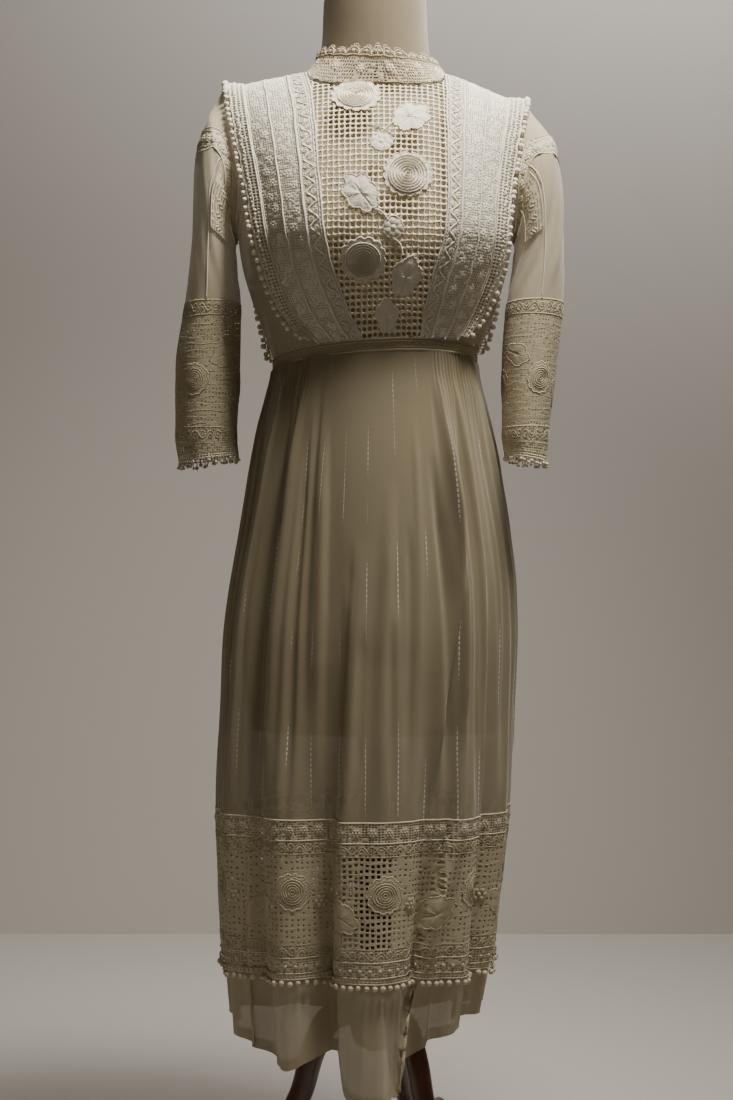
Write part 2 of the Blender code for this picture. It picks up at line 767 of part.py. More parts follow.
def neckline_tau(s, in_front):
    """The tau at which the bodice reaches the neckline at s, or the shoulder ridge if it doesn't."""
    low, high = (0.5, 1.0) if in_front else (1.5, 1.0)
    for _ in range(24):
        middle = (low + high) / 2
        x, y, _ = bodice_point(s, middle)
        depth = NECK_FRONT if y < 0 else NECK_BACK
        squareness = NECK_FRONT_SQUARENESS if y < 0 else NECK_BACK_SQUARENESS
        across = abs(x - NECK_CENTRE_X) / NECK_HALF_WIDTH
        within = across ** squareness + abs(y / depth) ** squareness < 1
        if within:
            high = middle
        else:
            low = middle
    return low


def panel_to_neck(left_edge, right_edge, in_front, shares):
    """Cells from the waist up to the neckline, between two edges given as x for each tau."""
    waist = 0.0 if in_front else 2.0
    cells = []
    for share in shares:
        top = 0.85 if in_front else 1.1
        for _ in range(6):
            s = share_at_x(mix(left_edge(top), right_edge(top), share), top)
            top = neckline_tau(s, in_front)
        top = min(top, 1 - RIDGE_GAP) if in_front else max(top, 1 + RIDGE_GAP)
        row = []
        for step in range(RAIL_STEPS + 1):
            tau = mix(waist, top, step / RAIL_STEPS)
            row.append((share_at_x(mix(left_edge(tau), right_edge(tau), share), tau), tau))
        cells.append(row)
    return cells


def make_front_yoke(material):
    shares = [(1 - math.cos(math.pi * k / 8)) / 2 for k in range(9)]
    cells = panel_to_neck(lambda tau: seam_x(-1, 0.0, tau), lambda tau: seam_x(1, 0.0, tau), True, shares)
    grid, normals = on_bodice(cells)
    return wall("front_yoke_net", trimmed(grid), NET, material, normals=normals)


def make_back_panels(material):
    centre = NECK_CENTRE_X
    outer_dense = [1 - math.cos(math.pi / 2 * k / 4) for k in range(5)]
    inner_dense = [math.sin(math.pi / 2 * k / 4) for k in range(5)]
    left = panel_to_neck(lambda tau: seam_x(-1, 0.0, tau), lambda tau: centre, False, outer_dense)
    right = panel_to_neck(lambda tau: centre, lambda tau: seam_x(1, 0.0, tau), False, inner_dense)
    for name, cells in (("back_panel_left", left), ("back_panel_right", right)):
        grid, normals = on_bodice(cells)
        wall(name, trimmed(grid), LAWN, material, normals=normals)
    placket = []
    for x in (centre - PLACKET_LAP, centre + PLACKET_LAP / 2):
        placket.append([(share_at_x(x, tau), tau) for _, tau in left[-1]])
    grid, normals = on_bodice(placket)
    wall("back_placket", grid, LAWN, material, lift=PLACKET_LIFT, normals=normals)


def armhole_point(side, turn):
    """s and tau of the armhole's edge. turn 0 is the underarm, 90 the front, 180 the shoulder, 270 the back."""
    turn = turn % 360
    in_front = turn <= 180
    half_turn = turn if in_front else 360 - turn
    share_at = smooth_curve(ARMHOLE, 1 if side < 0 else 2)
    s = share_at(half_turn)
    shoulder_height = ridge_at(side * share_at(180.0))
    middle = (UNDERARM_HEIGHT + shoulder_height) / 2
    height = middle - (shoulder_height - middle) * math.cos(math.radians(half_turn))
    return s, tau_at_height(side * s, height, in_front)


def side_panel_edge(side, number):
    """The outer edge of the side panel: along the waist to the bretelle's seam, then up it. number counts
    from the side seam through the front to the shoulder, and back down behind."""
    in_front = number <= ARMHOLE_SIDES // 2
    step = number if in_front else ARMHOLE_SIDES - number
    waist = 0.0 if in_front else 2.0
    if step < WAIST_STEPS:
        corner_s = share_at_x(seam_x(side, 1.0, waist) + side * SEAM_GAP, waist)
        angle = mix(math.pi / 2, math.asin(abs(corner_s) ** ANGLE_POWER), step / WAIST_STEPS)
        return math.sin(angle) ** (1 / ANGLE_POWER), waist
    tau = mix(waist, 1.0, (step - WAIST_STEPS) / RAIL_STEPS)
    return abs(share_at_x(seam_x(side, 1.0, tau) + side * SEAM_GAP, tau)), tau


def make_side_panel(side, word, material):
    """Lawn from the bretelle's front seam round under the arm to its back seam, with the armhole in it."""
    cells = []
    for share in (0.0, 0.25, 0.55, 1.0):
        row = []
        for number in range(ARMHOLE_SIDES):
            s_in, tau_in = armhole_point(side, 360 * number / ARMHOLE_SIDES)
            s_out, tau_out = side_panel_edge(side, number)
            inner_angle = math.asin(s_in ** ANGLE_POWER)
            outer_angle = math.asin(min(1.0, s_out) ** ANGLE_POWER)
            angle = mix(inner_angle, outer_angle, share ** PANEL_BOW)
            s = math.sin(angle) ** (1 / ANGLE_POWER)
            row.append((side * s, mix(tau_in, tau_out, share)))
        cells.append(row)
    grid, normals = on_bodice(cells)
    wall(f"side_panel_{word}", trimmed(grid, first=False), LAWN, material, closed=True, normals=normals)


def make_collar(material):
    """The standing lace collar: from the neckline in to the neck, with a scalloped top edge."""
    rows = ([], [], [])
    for k in range(COLLAR_SIDES):
        turn = 2 * math.pi * k / COLLAR_SIDES
        across = math.sin(turn)
        ahead = math.cos(turn)
        squareness = NECK_FRONT_SQUARENESS if ahead > 0 else NECK_BACK_SQUARENESS
        half_width = NECK_HALF_WIDTH - COLLAR_INSET
        x, y = ring_point(turn, half_width, half_width, NECK_FRONT - COLLAR_INSET, NECK_BACK - COLLAR_INSET,
                          squareness)
        x += NECK_CENTRE_X
        level = BUST_HEIGHT if ahead > 0 else BLADE_HEIGHT
        s = x / side_at(1.31)
        depth = front_at(level) if ahead > 0 else -back_at(level)
        y_level = -depth * ring_share(s, squareness_at(level))
        reach = (y - RIDGE_Y) / (y_level - RIDGE_Y)
        rise = max(0.0, 1 - max(0.0, reach) ** ROUNDING) ** (1 / ROUNDING)
        base = mix(level, ridge_at(s), rise) + 0.0026
        top_x = COLLAR_TOP_X + COLLAR_TOP_WIDTH * across
        top_y = -COLLAR_TOP_DEPTH * ahead
        top = COLLAR_TOP_HEIGHT - 0.004 * ahead - 0.006 * across
        rows[0].append((x, y, base))
        rows[1].append((mix(x, top_x, 0.6), mix(y, top_y, 0.6), mix(base, top, 0.5)))
        rows[2].append((top_x, top_y, top + (SCALLOP_RISE if k % 2 else 0.0)))
    wall("collar_lace", rows, LACE, material, closed=True)


def make_waistband(material):
    rows = ([], [])
    for k in range(WAISTBAND_SIDES):
        turn = 2 * math.pi * k / WAISTBAND_SIDES
        x, y = ring_point(turn, *WAIST_RING)
        middle = waist_height(x, y)
        rows[0].append((x, y, middle - BAND_HALF_HEIGHT))
        rows[1].append((x, y, middle + BAND_HALF_HEIGHT))
    wall("waistband_lace", rows, LACE, material, closed=True)


def sleeve_point(side, station, turn):
    """A point of a sleeve's middle surface. station 0 is the armhole; turn is the armhole's."""
    rows = LEFT_SLEEVE if side < 0 else RIGHT_SLEEVE
    key = max(station, rows[0][0])
    outer_x, outer_z, inner_x, inner_z, centre_y, half_depth = (
        smooth_curve(rows, column)(key) for column in range(1, 7))
    outer = np.array((side * outer_x, 0.0, outer_z))
    inner = np.array((side * inner_x, 0.0, inner_z))
    angle = math.radians(turn)
    middle = (outer + inner) / 2 + np.array((0.0, centre_y, 0.0))
    point = middle - (outer - inner) / 2 * math.cos(angle) - np.array((0.0, half_depth, 0.0)) * math.sin(angle)
    if station >= 1:
        return point
    s, tau = armhole_point(side, turn)
    edges, normals = on_bodice([[(side * s, tau)]])
    start = edges[0, 0] + normals[0, 0] * SLEEVE_LAP
    return start * (1 - station) + point * station


def cap_lace_station(turn, share):
    """The station of the cap lace at a turn: share 0 is its top edge and 1 its foot."""
    half_turn = turn if turn <= 180 else 360 - turn
    return mix(CAP_LACE_TOP_AT(half_turn), CAP_LACE_FOOT_AT(half_turn), share)


CAP_LACE_TOP_AT = smooth_curve(CAP_LACE, 1)
CAP_LACE_FOOT_AT = smooth_curve(CAP_LACE, 2)


def cap_station(turn, share):
    return cap_lace_station(turn, 0.0) * share


def upper_station(turn, share):
    return mix(cap_lace_station(turn, 1.0), UPPER_SLEEVE_KNEE, share)


def sleeve_tube(name, side, rows, thickness, material, sides=SLEEVE_SIDES, locks=None):
    """A tube of the sleeve. Each row is a station, or a line across the sleeve and a share along it."""
    cells = []
    for row in rows:
        turns = [360 * k / sides for k in range(sides)]
        cells.append([(row[0](turn, row[1]) if isinstance(row, tuple) else row, turn) for turn in turns])
    grid, normals = laid_on(lambda station, turn: sleeve_point(side, station, turn), cells, (0.02, 1.0))
    from_middle = grid - np.mean(grid, axis=1, keepdims=True)
    facing = np.sum(normals * from_middle, axis=2, keepdims=True)
    normals = normals * np.where(facing < 0, -1.0, 1.0)
    grid = trimmed(grid, first=cells[0][0][0] > 0, last=locks is None)
    return wall(name, grid, thickness, material, closed=True, normals=normals, locks=locks)


def make_sleeve(side, word, materials):
    lawn, lace = materials["lawn"], materials["lace"]
    cuff_seam = CUFF_EDGE - 0.25
    cap_rows = [(cap_station, share) for share in (0.0, 0.25, 0.5, 1.0)]
    sleeve_tube(f"sleeve_cap_{word}", side, cap_rows, LAWN, lawn, ARMHOLE_SIDES)
    lace_rows = [(cap_lace_station, 0.0), (cap_lace_station, 1.0)]
    sleeve_tube(f"sleeve_cap_lace_{word}", side, lace_rows, LACE, lace, ARMHOLE_SIDES)
    upper_rows = [(upper_station, share) for share in UPPER_SHARES]
    sleeve_tube(f"sleeve_upper_{word}", side, [*upper_rows, 5.0, ELBOW_SEAM], LAWN, lawn, ARMHOLE_SIDES)
    sleeve_tube(f"sleeve_lower_lace_{word}", side, (ELBOW_SEAM, 7.0, 8.0, cuff_seam), LACE, materials["net"])
    sleeve_tube(f"sleeve_edging_{word}", side, (cuff_seam, CUFF_EDGE - 0.1), LACE, lace, locks=CUFF_BALL)
    inset_shares = (INSET_START, *UPPER_SHARES[1:])
    cells = [[(upper_station(turn, share), turn) for share in inset_shares] for turn in INSET_TURNS]
    middle = sleeve_point(side, UPPER_SLEEVE_KNEE, 0) / 2 + sleeve_point(side, UPPER_SLEEVE_KNEE, 180) / 2
    grid, normals = laid_on(lambda station, turn: sleeve_point(side, station, turn), cells, (0.02, 1.0), middle)
    wall(f"sleeve_inset_{word}", grid, LACE, lace, lift=INSET_LIFT, normals=normals)


def fold_height(row, bearing, height):
    """How far one fold stands out from the skirt's ring at a bearing and height."""
    top, low, half_width, waist, hip, hem = row
    way_down = min(1.0, max(0.0, (WAIST_LEVEL - height) / (WAIST_LEVEL - HEM_LEVEL)))
    middle = mix(top, low, way_down)
    apart = (bearing - middle + 180) % 360 - 180
    if abs(apart) >= half_width:
        return 0.0
    hip_share = (WAIST_LEVEL - HIP_LEVEL) / (WAIST_LEVEL - HEM_LEVEL)
    if way_down < hip_share:
        rise = mix(waist, hip, way_down / hip_share)
    else:
        rise = mix(hip, hem, (way_down - hip_share) / (1 - hip_share))
    return rise * math.cos(math.pi / 2 * apart / half_width) ** 2


def gather_height(bearing, height):
    if height < GATHER_FOOT:
        return 0.0
    fade = (height - GATHER_FOOT) / (WAIST_LEVEL - GATHER_FOOT)
    step = 360 / SKIRT_SIDES
    for first, last in GATHERED_STRETCHES:
        span = last - first
        within = (bearing - first) % 360
        if 0 <= within <= span:
            return GATHER_DEPTH * min(1.0, fade) * math.cos(math.pi * bearing / step)
    return 0.0


skirt_at = [smooth_curve(SKIRT_RINGS, column) for column in range(1, 5)]


def skirt_point(bearing, height):
    turn = math.radians(bearing)
    ring = [curve(height) for curve in skirt_at]
    x, y = ring_point(turn, *ring, SKIRT_SQUARENESS)
    out = sum(fold_height(row, bearing, height) for row in SKIRT_FOLDS)
    out += gather_height(bearing, height)
    length = math.hypot(x, y)
    return np.array((x + x / length * out, y + y / length * out, height))


def skirt_tube(name, sides, level_at, shares, thickness, material, lift=0.0, locks=None):
    """A tube of the skirt. level_at gives a height for a bearing and a share of the way down."""
    bearings = [360 * k / sides for k in range(sides)]
    cells = [[(bearing, level_at(bearing, share)) for bearing in bearings] for share in shares]
    grid, normals = laid_on(skirt_point, cells, (0.5, 0.002))
    level_out = np.array(grid)
    level_out[:, :, 2] = 0.0
    facing = np.sum(normals * level_out, axis=2, keepdims=True)
    normals = normals * np.where(facing < 0, -1.0, 1.0)
    return wall(name, grid, thickness, material, closed=True, lift=lift, normals=normals, locks=locks)


def skirt_top(bearing):
    x, y = ring_point(math.radians(bearing), *WAIST_RING)
    return waist_height(x, y) - BAND_HALF_HEIGHT - SEAM_GAP


def make_skirt(materials):
    hem_at = smooth_curve(HEM, 1)
    shares = (0.0, 0.03, 0.10, 0.22, 0.38, 0.58, 0.79, 1.0)
    skirt_tube("skirt_lawn", SKIRT_SIDES,
               lambda bearing, share: mix(skirt_top(bearing), BAND_TOP + SEAM_GAP, share),
               shares, LAWN, materials["lawn"])
    skirt_tube("band_top_strip", BAND_SIDES, lambda bearing, share: mix(BAND_TOP, TOP_STRIP_FOOT, share),
               (0.0, 1.0), LACE, materials["lace"])
    skirt_tube("band_wide_net", BAND_SIDES,
               lambda bearing, share: mix(TOP_STRIP_FOOT - SEAM_GAP, NET_FOOT, share),
               (0.0, 0.5, 1.0), LACE, materials["net"])
    skirt_tube("band_bottom_strip", BAND_SIDES,
               lambda bearing, share: mix(NET_FOOT - SEAM_GAP, BOTTOM_STRIP_FOOT, share),
               (0.0, 1.0), LACE, materials["lace"])
    skirt_tube("band_ball_fringe", BAND_SIDES,
               lambda bearing, share: BOTTOM_STRIP_FOOT - SEAM_GAP - BAND_FRINGE_ROOT * share,
               (0.0, 1.0), LACE, materials["lace"], lift=BAND_FRINGE_LIFT, locks=BAND_BALL)

    def flounce_level(bearing, share):
        wrapped = (bearing + 90) % 360 - 90
        return mix(FLOUNCE_TOP, hem_at(wrapped), share)

    skirt_tube("flounce_lawn", BAND_SIDES, flounce_level, (0.0, 0.28, 1.0), LAWN, materials["lawn"],
               lift=-FLOUNCE_TUCK)


def make_motif(name, x, height, radius, petals, rings, yoke, material):
    """A worked flower or leaf that lies on the yoke: a scalloped disc with raised rings. Each of its points
    is set down on the yoke from in front, so the disc follows it."""
    s = x / side_at(height)
    tau = tau_at_height(s, height, True)
    step = 0.004
    length = np.linalg.norm(bodice_point(s, tau + step) - bodice_point(s, tau - step)) / (2 * step)
    centres, ways = on_bodice([[(s, tau)]])
    outward_way = ways[0, 0]
    yoke_faces = BVHTree.FromObject(yoke, bpy.context.evaluated_depsgraph_get())

    def set_down(place, rise):
        start = place + outward_way * MOTIF_CAST
        hit = yoke_faces.ray_cast(Vector(start), Vector(-outward_way))[0]
        return np.array(hit) + outward_way * rise

    sides = petals * 2 if petals < 8 else petals
    steps = 1 + rings
    top = MOTIF_LIFT + MOTIF_THICKNESS
    upper = []
    lower = []
    for ring in range(1, steps + 1):
        for k in range(sides):
            turn = 2 * math.pi * k / sides
            reach = radius * ring / steps
            if ring == steps and k % 2 == 0:
                reach *= PETAL_NOTCH
            rise = RIDGE_RISE if ring % 2 and ring < steps else 0.0
            local_s = s + reach * math.cos(turn) / side_at(height)
            local_tau = tau + reach * math.sin(turn) / length
            place = bodice_point(local_s, local_tau)
            upper.append(set_down(place, top + rise))
            lower.append(set_down(place, MOTIF_LIFT))
    half = len(upper)
    points = [*upper, *lower, set_down(centres[0, 0], top), set_down(centres[0, 0], MOTIF_LIFT)]
    faces = []
    for k in range(sides):
        following = (k + 1) % sides
        for first, centre in ((0, 2 * half), (half, 2 * half + 1)):
            faces.append((centre, first + k, first + following))
            for ring in range(steps - 1):
                near = first + ring * sides
                far = near + sides
                faces.append((near + k, near + following, far + following, far + k))
        rim = half - sides
        faces.append((rim + k, rim + following, half + rim + following, half + rim + k))
    finish_mesh(name, points, faces, material)


def stand_at_origin():
    """Moves the whole object so that the middle of its footprint's box is at the origin."""
    low = np.full(3, np.inf)
    high = np.full(3, -np.inf)
    bpy.context.view_layer.update()
    for item in bpy.context.scene.objects:
        for vertex in item.data.vertices:
            place = np.array(item.matrix_world @ vertex.co)
            low = np.minimum(low, place)
            high = np.maximum(high, place)
    middle = (low + high) / 2
    for item in bpy.context.scene.objects:
        item.location.x -= middle[0]
        item.location.y -= middle[1]


def main():
    clear_scene()
    materials = {
        "lawn": make_material("lawn", (0.86, 0.83, 0.76), 0.85),
        "lace": make_material("lace", (0.88, 0.84, 0.74), 0.90),
        "net": make_material("net", (0.84, 0.78, 0.64), 0.90),
        "jersey": make_material("jersey", (0.72, 0.64, 0.52), 0.95),
        "mahogany": make_material("mahogany", (0.07, 0.025, 0.015), 0.35),
    }
    make_form(materials["jersey"])
    turned("stand_post", POST_PROFILE, 16, materials["mahogany"])
    turned("stand_hub", HUB_PROFILE, 16, materials["mahogany"])
    for number, bearing in enumerate(LEG_BEARINGS, start=1):
        make_leg(number, bearing, materials["mahogany"])
    yoke = make_front_yoke(materials["net"])
    for name, x, height, radius, petals, rings in YOKE_MOTIFS:
        make_motif(name, x, height, radius, petals, rings, yoke, materials["lace"])
    make_bretelles(materials)
    make_back_panels(materials["lawn"])
    for side, word in ((-1, "left"), (1, "right")):
        make_side_panel(side, word, materials["lawn"])
        make_sleeve(side, word, materials)
    make_collar(materials["lace"])
    make_waistband(materials["lace"])
    make_skirt(materials)
    stand_at_origin()


main()
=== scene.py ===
# Looks of the lawn dress and its dress form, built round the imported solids.
# Metres, +Z up. The dress faces -Y. Shapes are worked out about the stand's post and then moved to it.

import math

import bpy
import numpy as np
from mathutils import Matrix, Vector


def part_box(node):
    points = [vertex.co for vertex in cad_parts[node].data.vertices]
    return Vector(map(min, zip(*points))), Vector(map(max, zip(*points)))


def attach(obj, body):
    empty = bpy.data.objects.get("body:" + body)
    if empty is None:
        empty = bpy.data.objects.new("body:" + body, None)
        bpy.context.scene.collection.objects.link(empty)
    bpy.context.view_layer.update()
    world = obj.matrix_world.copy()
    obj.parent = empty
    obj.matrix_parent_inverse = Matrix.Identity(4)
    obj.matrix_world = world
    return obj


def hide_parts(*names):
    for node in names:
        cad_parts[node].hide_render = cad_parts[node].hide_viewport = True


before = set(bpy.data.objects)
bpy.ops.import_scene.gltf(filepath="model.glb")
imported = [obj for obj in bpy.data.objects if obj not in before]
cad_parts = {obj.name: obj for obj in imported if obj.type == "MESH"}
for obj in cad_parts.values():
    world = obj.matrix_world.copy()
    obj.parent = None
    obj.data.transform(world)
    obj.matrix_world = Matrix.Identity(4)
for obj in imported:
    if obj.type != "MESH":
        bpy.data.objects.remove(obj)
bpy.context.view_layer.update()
post_low, post_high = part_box("stand_post")
AXIS = np.array(((post_low.x + post_high.x) / 2, (post_low.y + post_high.y) / 2, 0.0))
random = np.random.default_rng(7)

# Camera: level, in front of the dress, a little to the left of the post
EYE_HEIGHT = 0.75
EYE_DISTANCE = 2.2
EYE_ASIDE = -0.0102
LENS = 60.0
FILM_LONG_SIDE = 36.0
WALL_DISTANCE = 1.36
WALL_HEIGHT = 3.2
FLOOR_REACH = 4

# Thread and cloth sizes: the reach over which a surface's normals are taken, pitches, threads and holes
STEP = 0.0008
CLOTH_STEP = 0.0015
NET_PITCH_ACROSS = 0.0064
NET_PITCH_ALONG = 0.0073
NET_THREAD = 0.0007
NET_HOLE = (0.80, 0.70)
HOLE_CORNER = 0.74
ROW_WAVE = 0.031
ROW_SHIFT = 1.7
LACE_PITCH = 0.0030
LACE_THREAD = 0.0005
LACE_HOLE = 0.66
CORD_LIFT = 0.0008
DOT_LIFT = 0.0003
DOME_RINGS = (1.0, 0.5)
BALL_LEVELS = 4
BALL_RADIUS = 0.0036
BALL_PITCH = 0.0092
STRIPE_PITCH = 0.037
STRIPE_HALF_SHARE = 0.012
DASH_PITCH = 0.0060
DASH_SHARE = 0.70
RIB_PITCH = 0.0026

# Bodice seams and levels, as in the solids
BAND_HALF_HEIGHT = 0.0065
WAIST_MIDDLE = 0.9745
WAIST_SLOPE_ACROSS = 0.05
WAIST_SLOPE_BACK = -0.10
SEAM_GAP = 0.0003
BUST_HEIGHT = 1.115
BLADE_HEIGHT = 1.180
RIDGE_Y = 0.005
NECK_CENTRE_X = 0.0015
NECK_HALF_WIDTH = 0.0825
NECK_FRONT = 0.062
NECK_BACK = 0.058
NECK_FRONT_SQUARENESS = 4.0
NECK_BACK_SQUARENESS = 2.0
COLLAR_TOP_X = 0.003
COLLAR_TOP_WIDTH = 0.0715
COLLAR_TOP_DEPTH = 0.0590
COLLAR_TOP_HEIGHT = 1.3385
COLLAR_INSET = 0.0016
LOWER_SHARE = 0.42
ROUNDING = 1.7
ANGLE_POWER = 1.2
PANEL_BOW = 1.5
WAIST_STEPS = 3
PANEL_STEPS = 20
RAIL_STEPS = 7
UNDERARM_HEIGHT = 1.125
SLEEVE_LAP = 0.0017
MIDDLE_SEAMS = (0.30, 0.67)
BRETELLE_MIDDLE = 0.6
LADDER_SHARE = 0.045
FRINGE_SEAM = 0.001
PANEL_EDGE = 0.98
FOOT_GUESS = 0.98
FOOT_ROUNDS = 3
SHARE_ROUNDS = 6
WAIST_RING = (0.1215, 0.1215, 0.1040, 0.0945, 2.1)
SKIRT_SQUARENESS = 2.1

# Bodice: height, half width at the side
BODICE_SIDE = (
    (0.940, 0.1210),
    (0.970, 0.1215),
    (1.010, 0.1335),
    (1.050, 0.1480),
    (1.090, 0.1590),
    (1.120, 0.1630),
    (1.170, 0.1660),
    (1.220, 0.1740),
    (1.270, 0.1850),
    (1.300, 0.1920),
    (1.330, 0.1940),
)

# Bodice: height, depth in front, depth behind, squareness of the ring
BODICE_DEPTH = (
    (0.940, 0.1040, 0.0945, 2.10),
    (0.975, 0.1040, 0.0945, 2.10),
    (1.010, 0.1130, 0.0985, 2.15),
    (1.050, 0.1280, 0.1030, 2.25),
    (1.090, 0.1390, 0.1080, 2.35),
    (1.115, 0.1420, 0.1110, 2.40),
    (1.180, 0.1420, 0.1150, 2.40),
)

# Shoulder ridge: share of the half width, height
SHOULDER_RIDGE = (
    (-1.00, 1.296),
    (-0.95, 1.3005),
    (-0.75, 1.311),
    (-0.50, 1.320),
    (-0.30, 1.326),
    (0.00, 1.328),
    (0.30, 1.3255),
    (0.50, 1.3165),
    (0.75, 1.298),
    (0.95, 1.2835),
    (1.00, 1.279),
)

# Seams of the bretelles in front: height, left inner, left outer, right inner, right outer
FRONT_SEAMS = (
    (0.960, -0.010, -0.055, 0.046, 0.080),
    (0.985, -0.015, -0.064, 0.050, 0.090),
    (1.010, -0.027, -0.085, 0.054, 0.104),
    (1.050, -0.042, -0.106, 0.062, 0.122),
    (1.080, -0.052, -0.115, 0.071, 0.132),
    (1.110, -0.058, -0.123, 0.079, 0.136),
    (1.170, -0.064, -0.132, 0.083, 0.140),
    (1.235, -0.0695, -0.144, 0.083, 0.148),
    (1.270, -0.0735, -0.150, 0.0835, 0.154),
    (1.312, -0.0825, -0.157, 0.0845, 0.160),
)

# The same seams behind
BACK_SEAMS = (
    (0.960, -0.050, -0.092, 0.050, 0.094),
    (1.050, -0.056, -0.114, 0.060, 0.118),
    (1.120, -0.064, -0.126, 0.070, 0.128),
    (1.200, -0.070, -0.136, 0.076, 0.137),
    (1.270, -0.0755, -0.150, 0.0810, 0.152),
    (1.312, -0.0825, -0.157, 0.0845, 0.160),
)

# Ball fringe: way along the bretelle from front waist to back waist, width of the band, how far it stands off
FRINGE_BAND = (
    (0.00, 0.008, 0.0056),
    (0.15, 0.014, 0.0058),
    (0.45, 0.016, 0.0062),
    (0.80, 0.018, 0.0068),
    (1.00, 0.020, 0.0070),
    (1.20, 0.016, 0.0070),
    (1.40, 0.015, 0.0072),
    (1.60, 0.018, 0.0085),
    (1.85, 0.024, 0.0120),
    (2.00, 0.024, 0.0130),
)

# Armhole: turn from the underarm (0) through the front (90) to the shoulder (180), share of the half width
# at the left and at the right
ARMHOLE = (
    (0.0, 1.000, 1.000),
    (30.0, 0.982, 0.986),
    (60.0, 0.948, 0.958),
    (90.0, 0.932, 0.946),
    (135.0, 0.936, 0.950),
    (180.0, 0.948, 0.962),
)

# Sleeves: station, outer x, outer height, inner x, inner height, centre y, half depth
LEFT_SLEEVE = (
    (1.0, 0.198, 1.272, 0.1660, 1.121, 0.000, 0.060),
    (2.0, 0.2075, 1.245, 0.1668, 1.116, -0.002, 0.061),
    (3.0, 0.2145, 1.212, 0.1668, 1.110, -0.004, 0.060),
    (4.0, 0.2165, 1.155, 0.1660, 1.098, -0.008, 0.057),
    (5.0, 0.2205, 1.096, 0.1640, 1.075, -0.012, 0.054),
    (6.0, 0.2265, 1.0415, 0.1600, 1.0415, -0.015, 0.051),
    (7.0, 0.2370, 0.965, 0.1610, 0.965, -0.018, 0.049),
    (8.0, 0.2370, 0.888, 0.1645, 0.888, -0.020, 0.047),
    (9.0, 0.2325, 0.852, 0.1625, 0.861, -0.020, 0.046),
)
RIGHT_SLEEVE = (
    (1.0, 0.1985, 1.258, 0.1660, 1.121, 0.000, 0.060),
    (2.0, 0.2120, 1.240, 0.1668, 1.116, -0.004, 0.061),
    (3.0, 0.2195, 1.206, 0.1668, 1.110, -0.008, 0.060),
    (4.0, 0.2240, 1.150, 0.1655, 1.098, -0.013, 0.057),
    (5.0, 0.2245, 1.096, 0.1620, 1.075, -0.019, 0.054),
    (6.0, 0.2225, 1.0415, 0.1560, 1.0415, -0.025, 0.051),
    (7.0, 0.2140, 0.965, 0.1500, 0.965, -0.032, 0.049),
    (8.0, 0.2040, 0.888, 0.1500, 0.888, -0.038, 0.047),
    (9.0, 0.2010, 0.852, 0.1530, 0.861, -0.040, 0.046),
)

# Lace across the sleeve cap: turn, station of its top edge, station of its foot
CAP_LACE = (
    (0.0, 1.00, 2.00),
    (45.0, 0.70, 1.35),
    (90.0, 0.35, 0.75),
    (108.0, 0.35, 1.00),
    (126.0, 0.80, 2.00),
    (144.0, 1.40, 2.45),
    (162.0, 1.80, 2.80),
    (180.0, 2.00, 3.00),
)
INSET_MIDDLE_TURN = 72.0
INSET_HALF_TURN = 18.0
INSET_END = 4.0
INSET_WIDTH = 0.0165
INSET_LIFT = 0.0023
SEAM_TURN = 96.0
ELBOW_SEAM = 6.0
CUFF_SEAM = 8.75
CUFF_END = 9.0

# Skirt: height, half width left, half width right, depth in front, depth behind
SKIRT_RINGS = (
    (0.985, 0.1215, 0.1215, 0.1040, 0.0945),
    (0.954, 0.1260, 0.1250, 0.1070, 0.1000),
    (0.930, 0.1320, 0.1310, 0.1100, 0.1070),
    (0.894, 0.1410, 0.1380, 0.1140, 0.1170),
    (0.838, 0.1510, 0.1470, 0.1190, 0.1300),
    (0.774, 0.1610, 0.1570, 0.1230, 0.1400),
    (0.698, 0.1740, 0.1650, 0.1270, 0.1460),
    (0.648, 0.1800, 0.1660, 0.1290, 0.1480),
    (0.570, 0.1840, 0.1630, 0.1300, 0.1500),
    (0.450, 0.1910, 0.1580, 0.1320, 0.1520),
    (0.330, 0.1870, 0.1440, 0.1310, 0.1500),
    (0.258, 0.1830, 0.1350, 0.1290, 0.1460),
    (0.174, 0.1760, 0.1200, 0.1270, 0.1400),
    (0.120, 0.1720, 0.1140, 0.1250, 0.1380),
)

# Folds: bearing at the waist and at the hem in degrees, half width in degrees, rise at waist, hip and hem
SKIRT_FOLDS = (
    (4, -2, 18, 0.0000, 0.0030, 0.0200),
    (-19, -18, 9, 0.0000, -0.0030, -0.0240),
    (24, 20, 8, 0.0000, -0.0040, -0.0180),
    (-33, -32, 10, 0.0020, 0.0050, 0.0120),
    (-46, -46, 7, -0.0010, -0.0040, -0.0120),
    (-60, -62, 12, 0.0020, 0.0060, 0.0110),
    (-77, -79, 8, -0.0010, -0.0050, -0.0120),
    (36, 41, 11, 0.0020, 0.0050, 0.0140),
    (49, 56, 7, -0.0010, -0.0040, -0.0110),
    (62, 70, 10, 0.0020, 0.0055, 0.0090),
    (78, 85, 8, -0.0010, -0.0050, -0.0100),
    (96, 101, 11, 0.0020, 0.0060, 0.0120),
    (115, 117, 8, -0.0010, -0.0060, -0.0140),
    (133, 135, 13, 0.0020, 0.0070, 0.0150),
    (152, 153, 8, -0.0010, -0.0070, -0.0160),
    (171, 173, 13, 0.0020, 0.0070, 0.0150),
    (190, 192, 8, -0.0010, -0.0070, -0.0150),
    (208, 210, 12, 0.0020, 0.0070, 0.0140),
    (226, 229, 8, -0.0010, -0.0060, -0.0140),
    (245, 247, 12, 0.0020, 0.0060, 0.0130),
    (263, 264, 7, -0.0010, -0.0050, -0.0100),
)
WAIST_LEVEL = 0.96
HIP_LEVEL = 0.62
HEM_LEVEL = 0.20

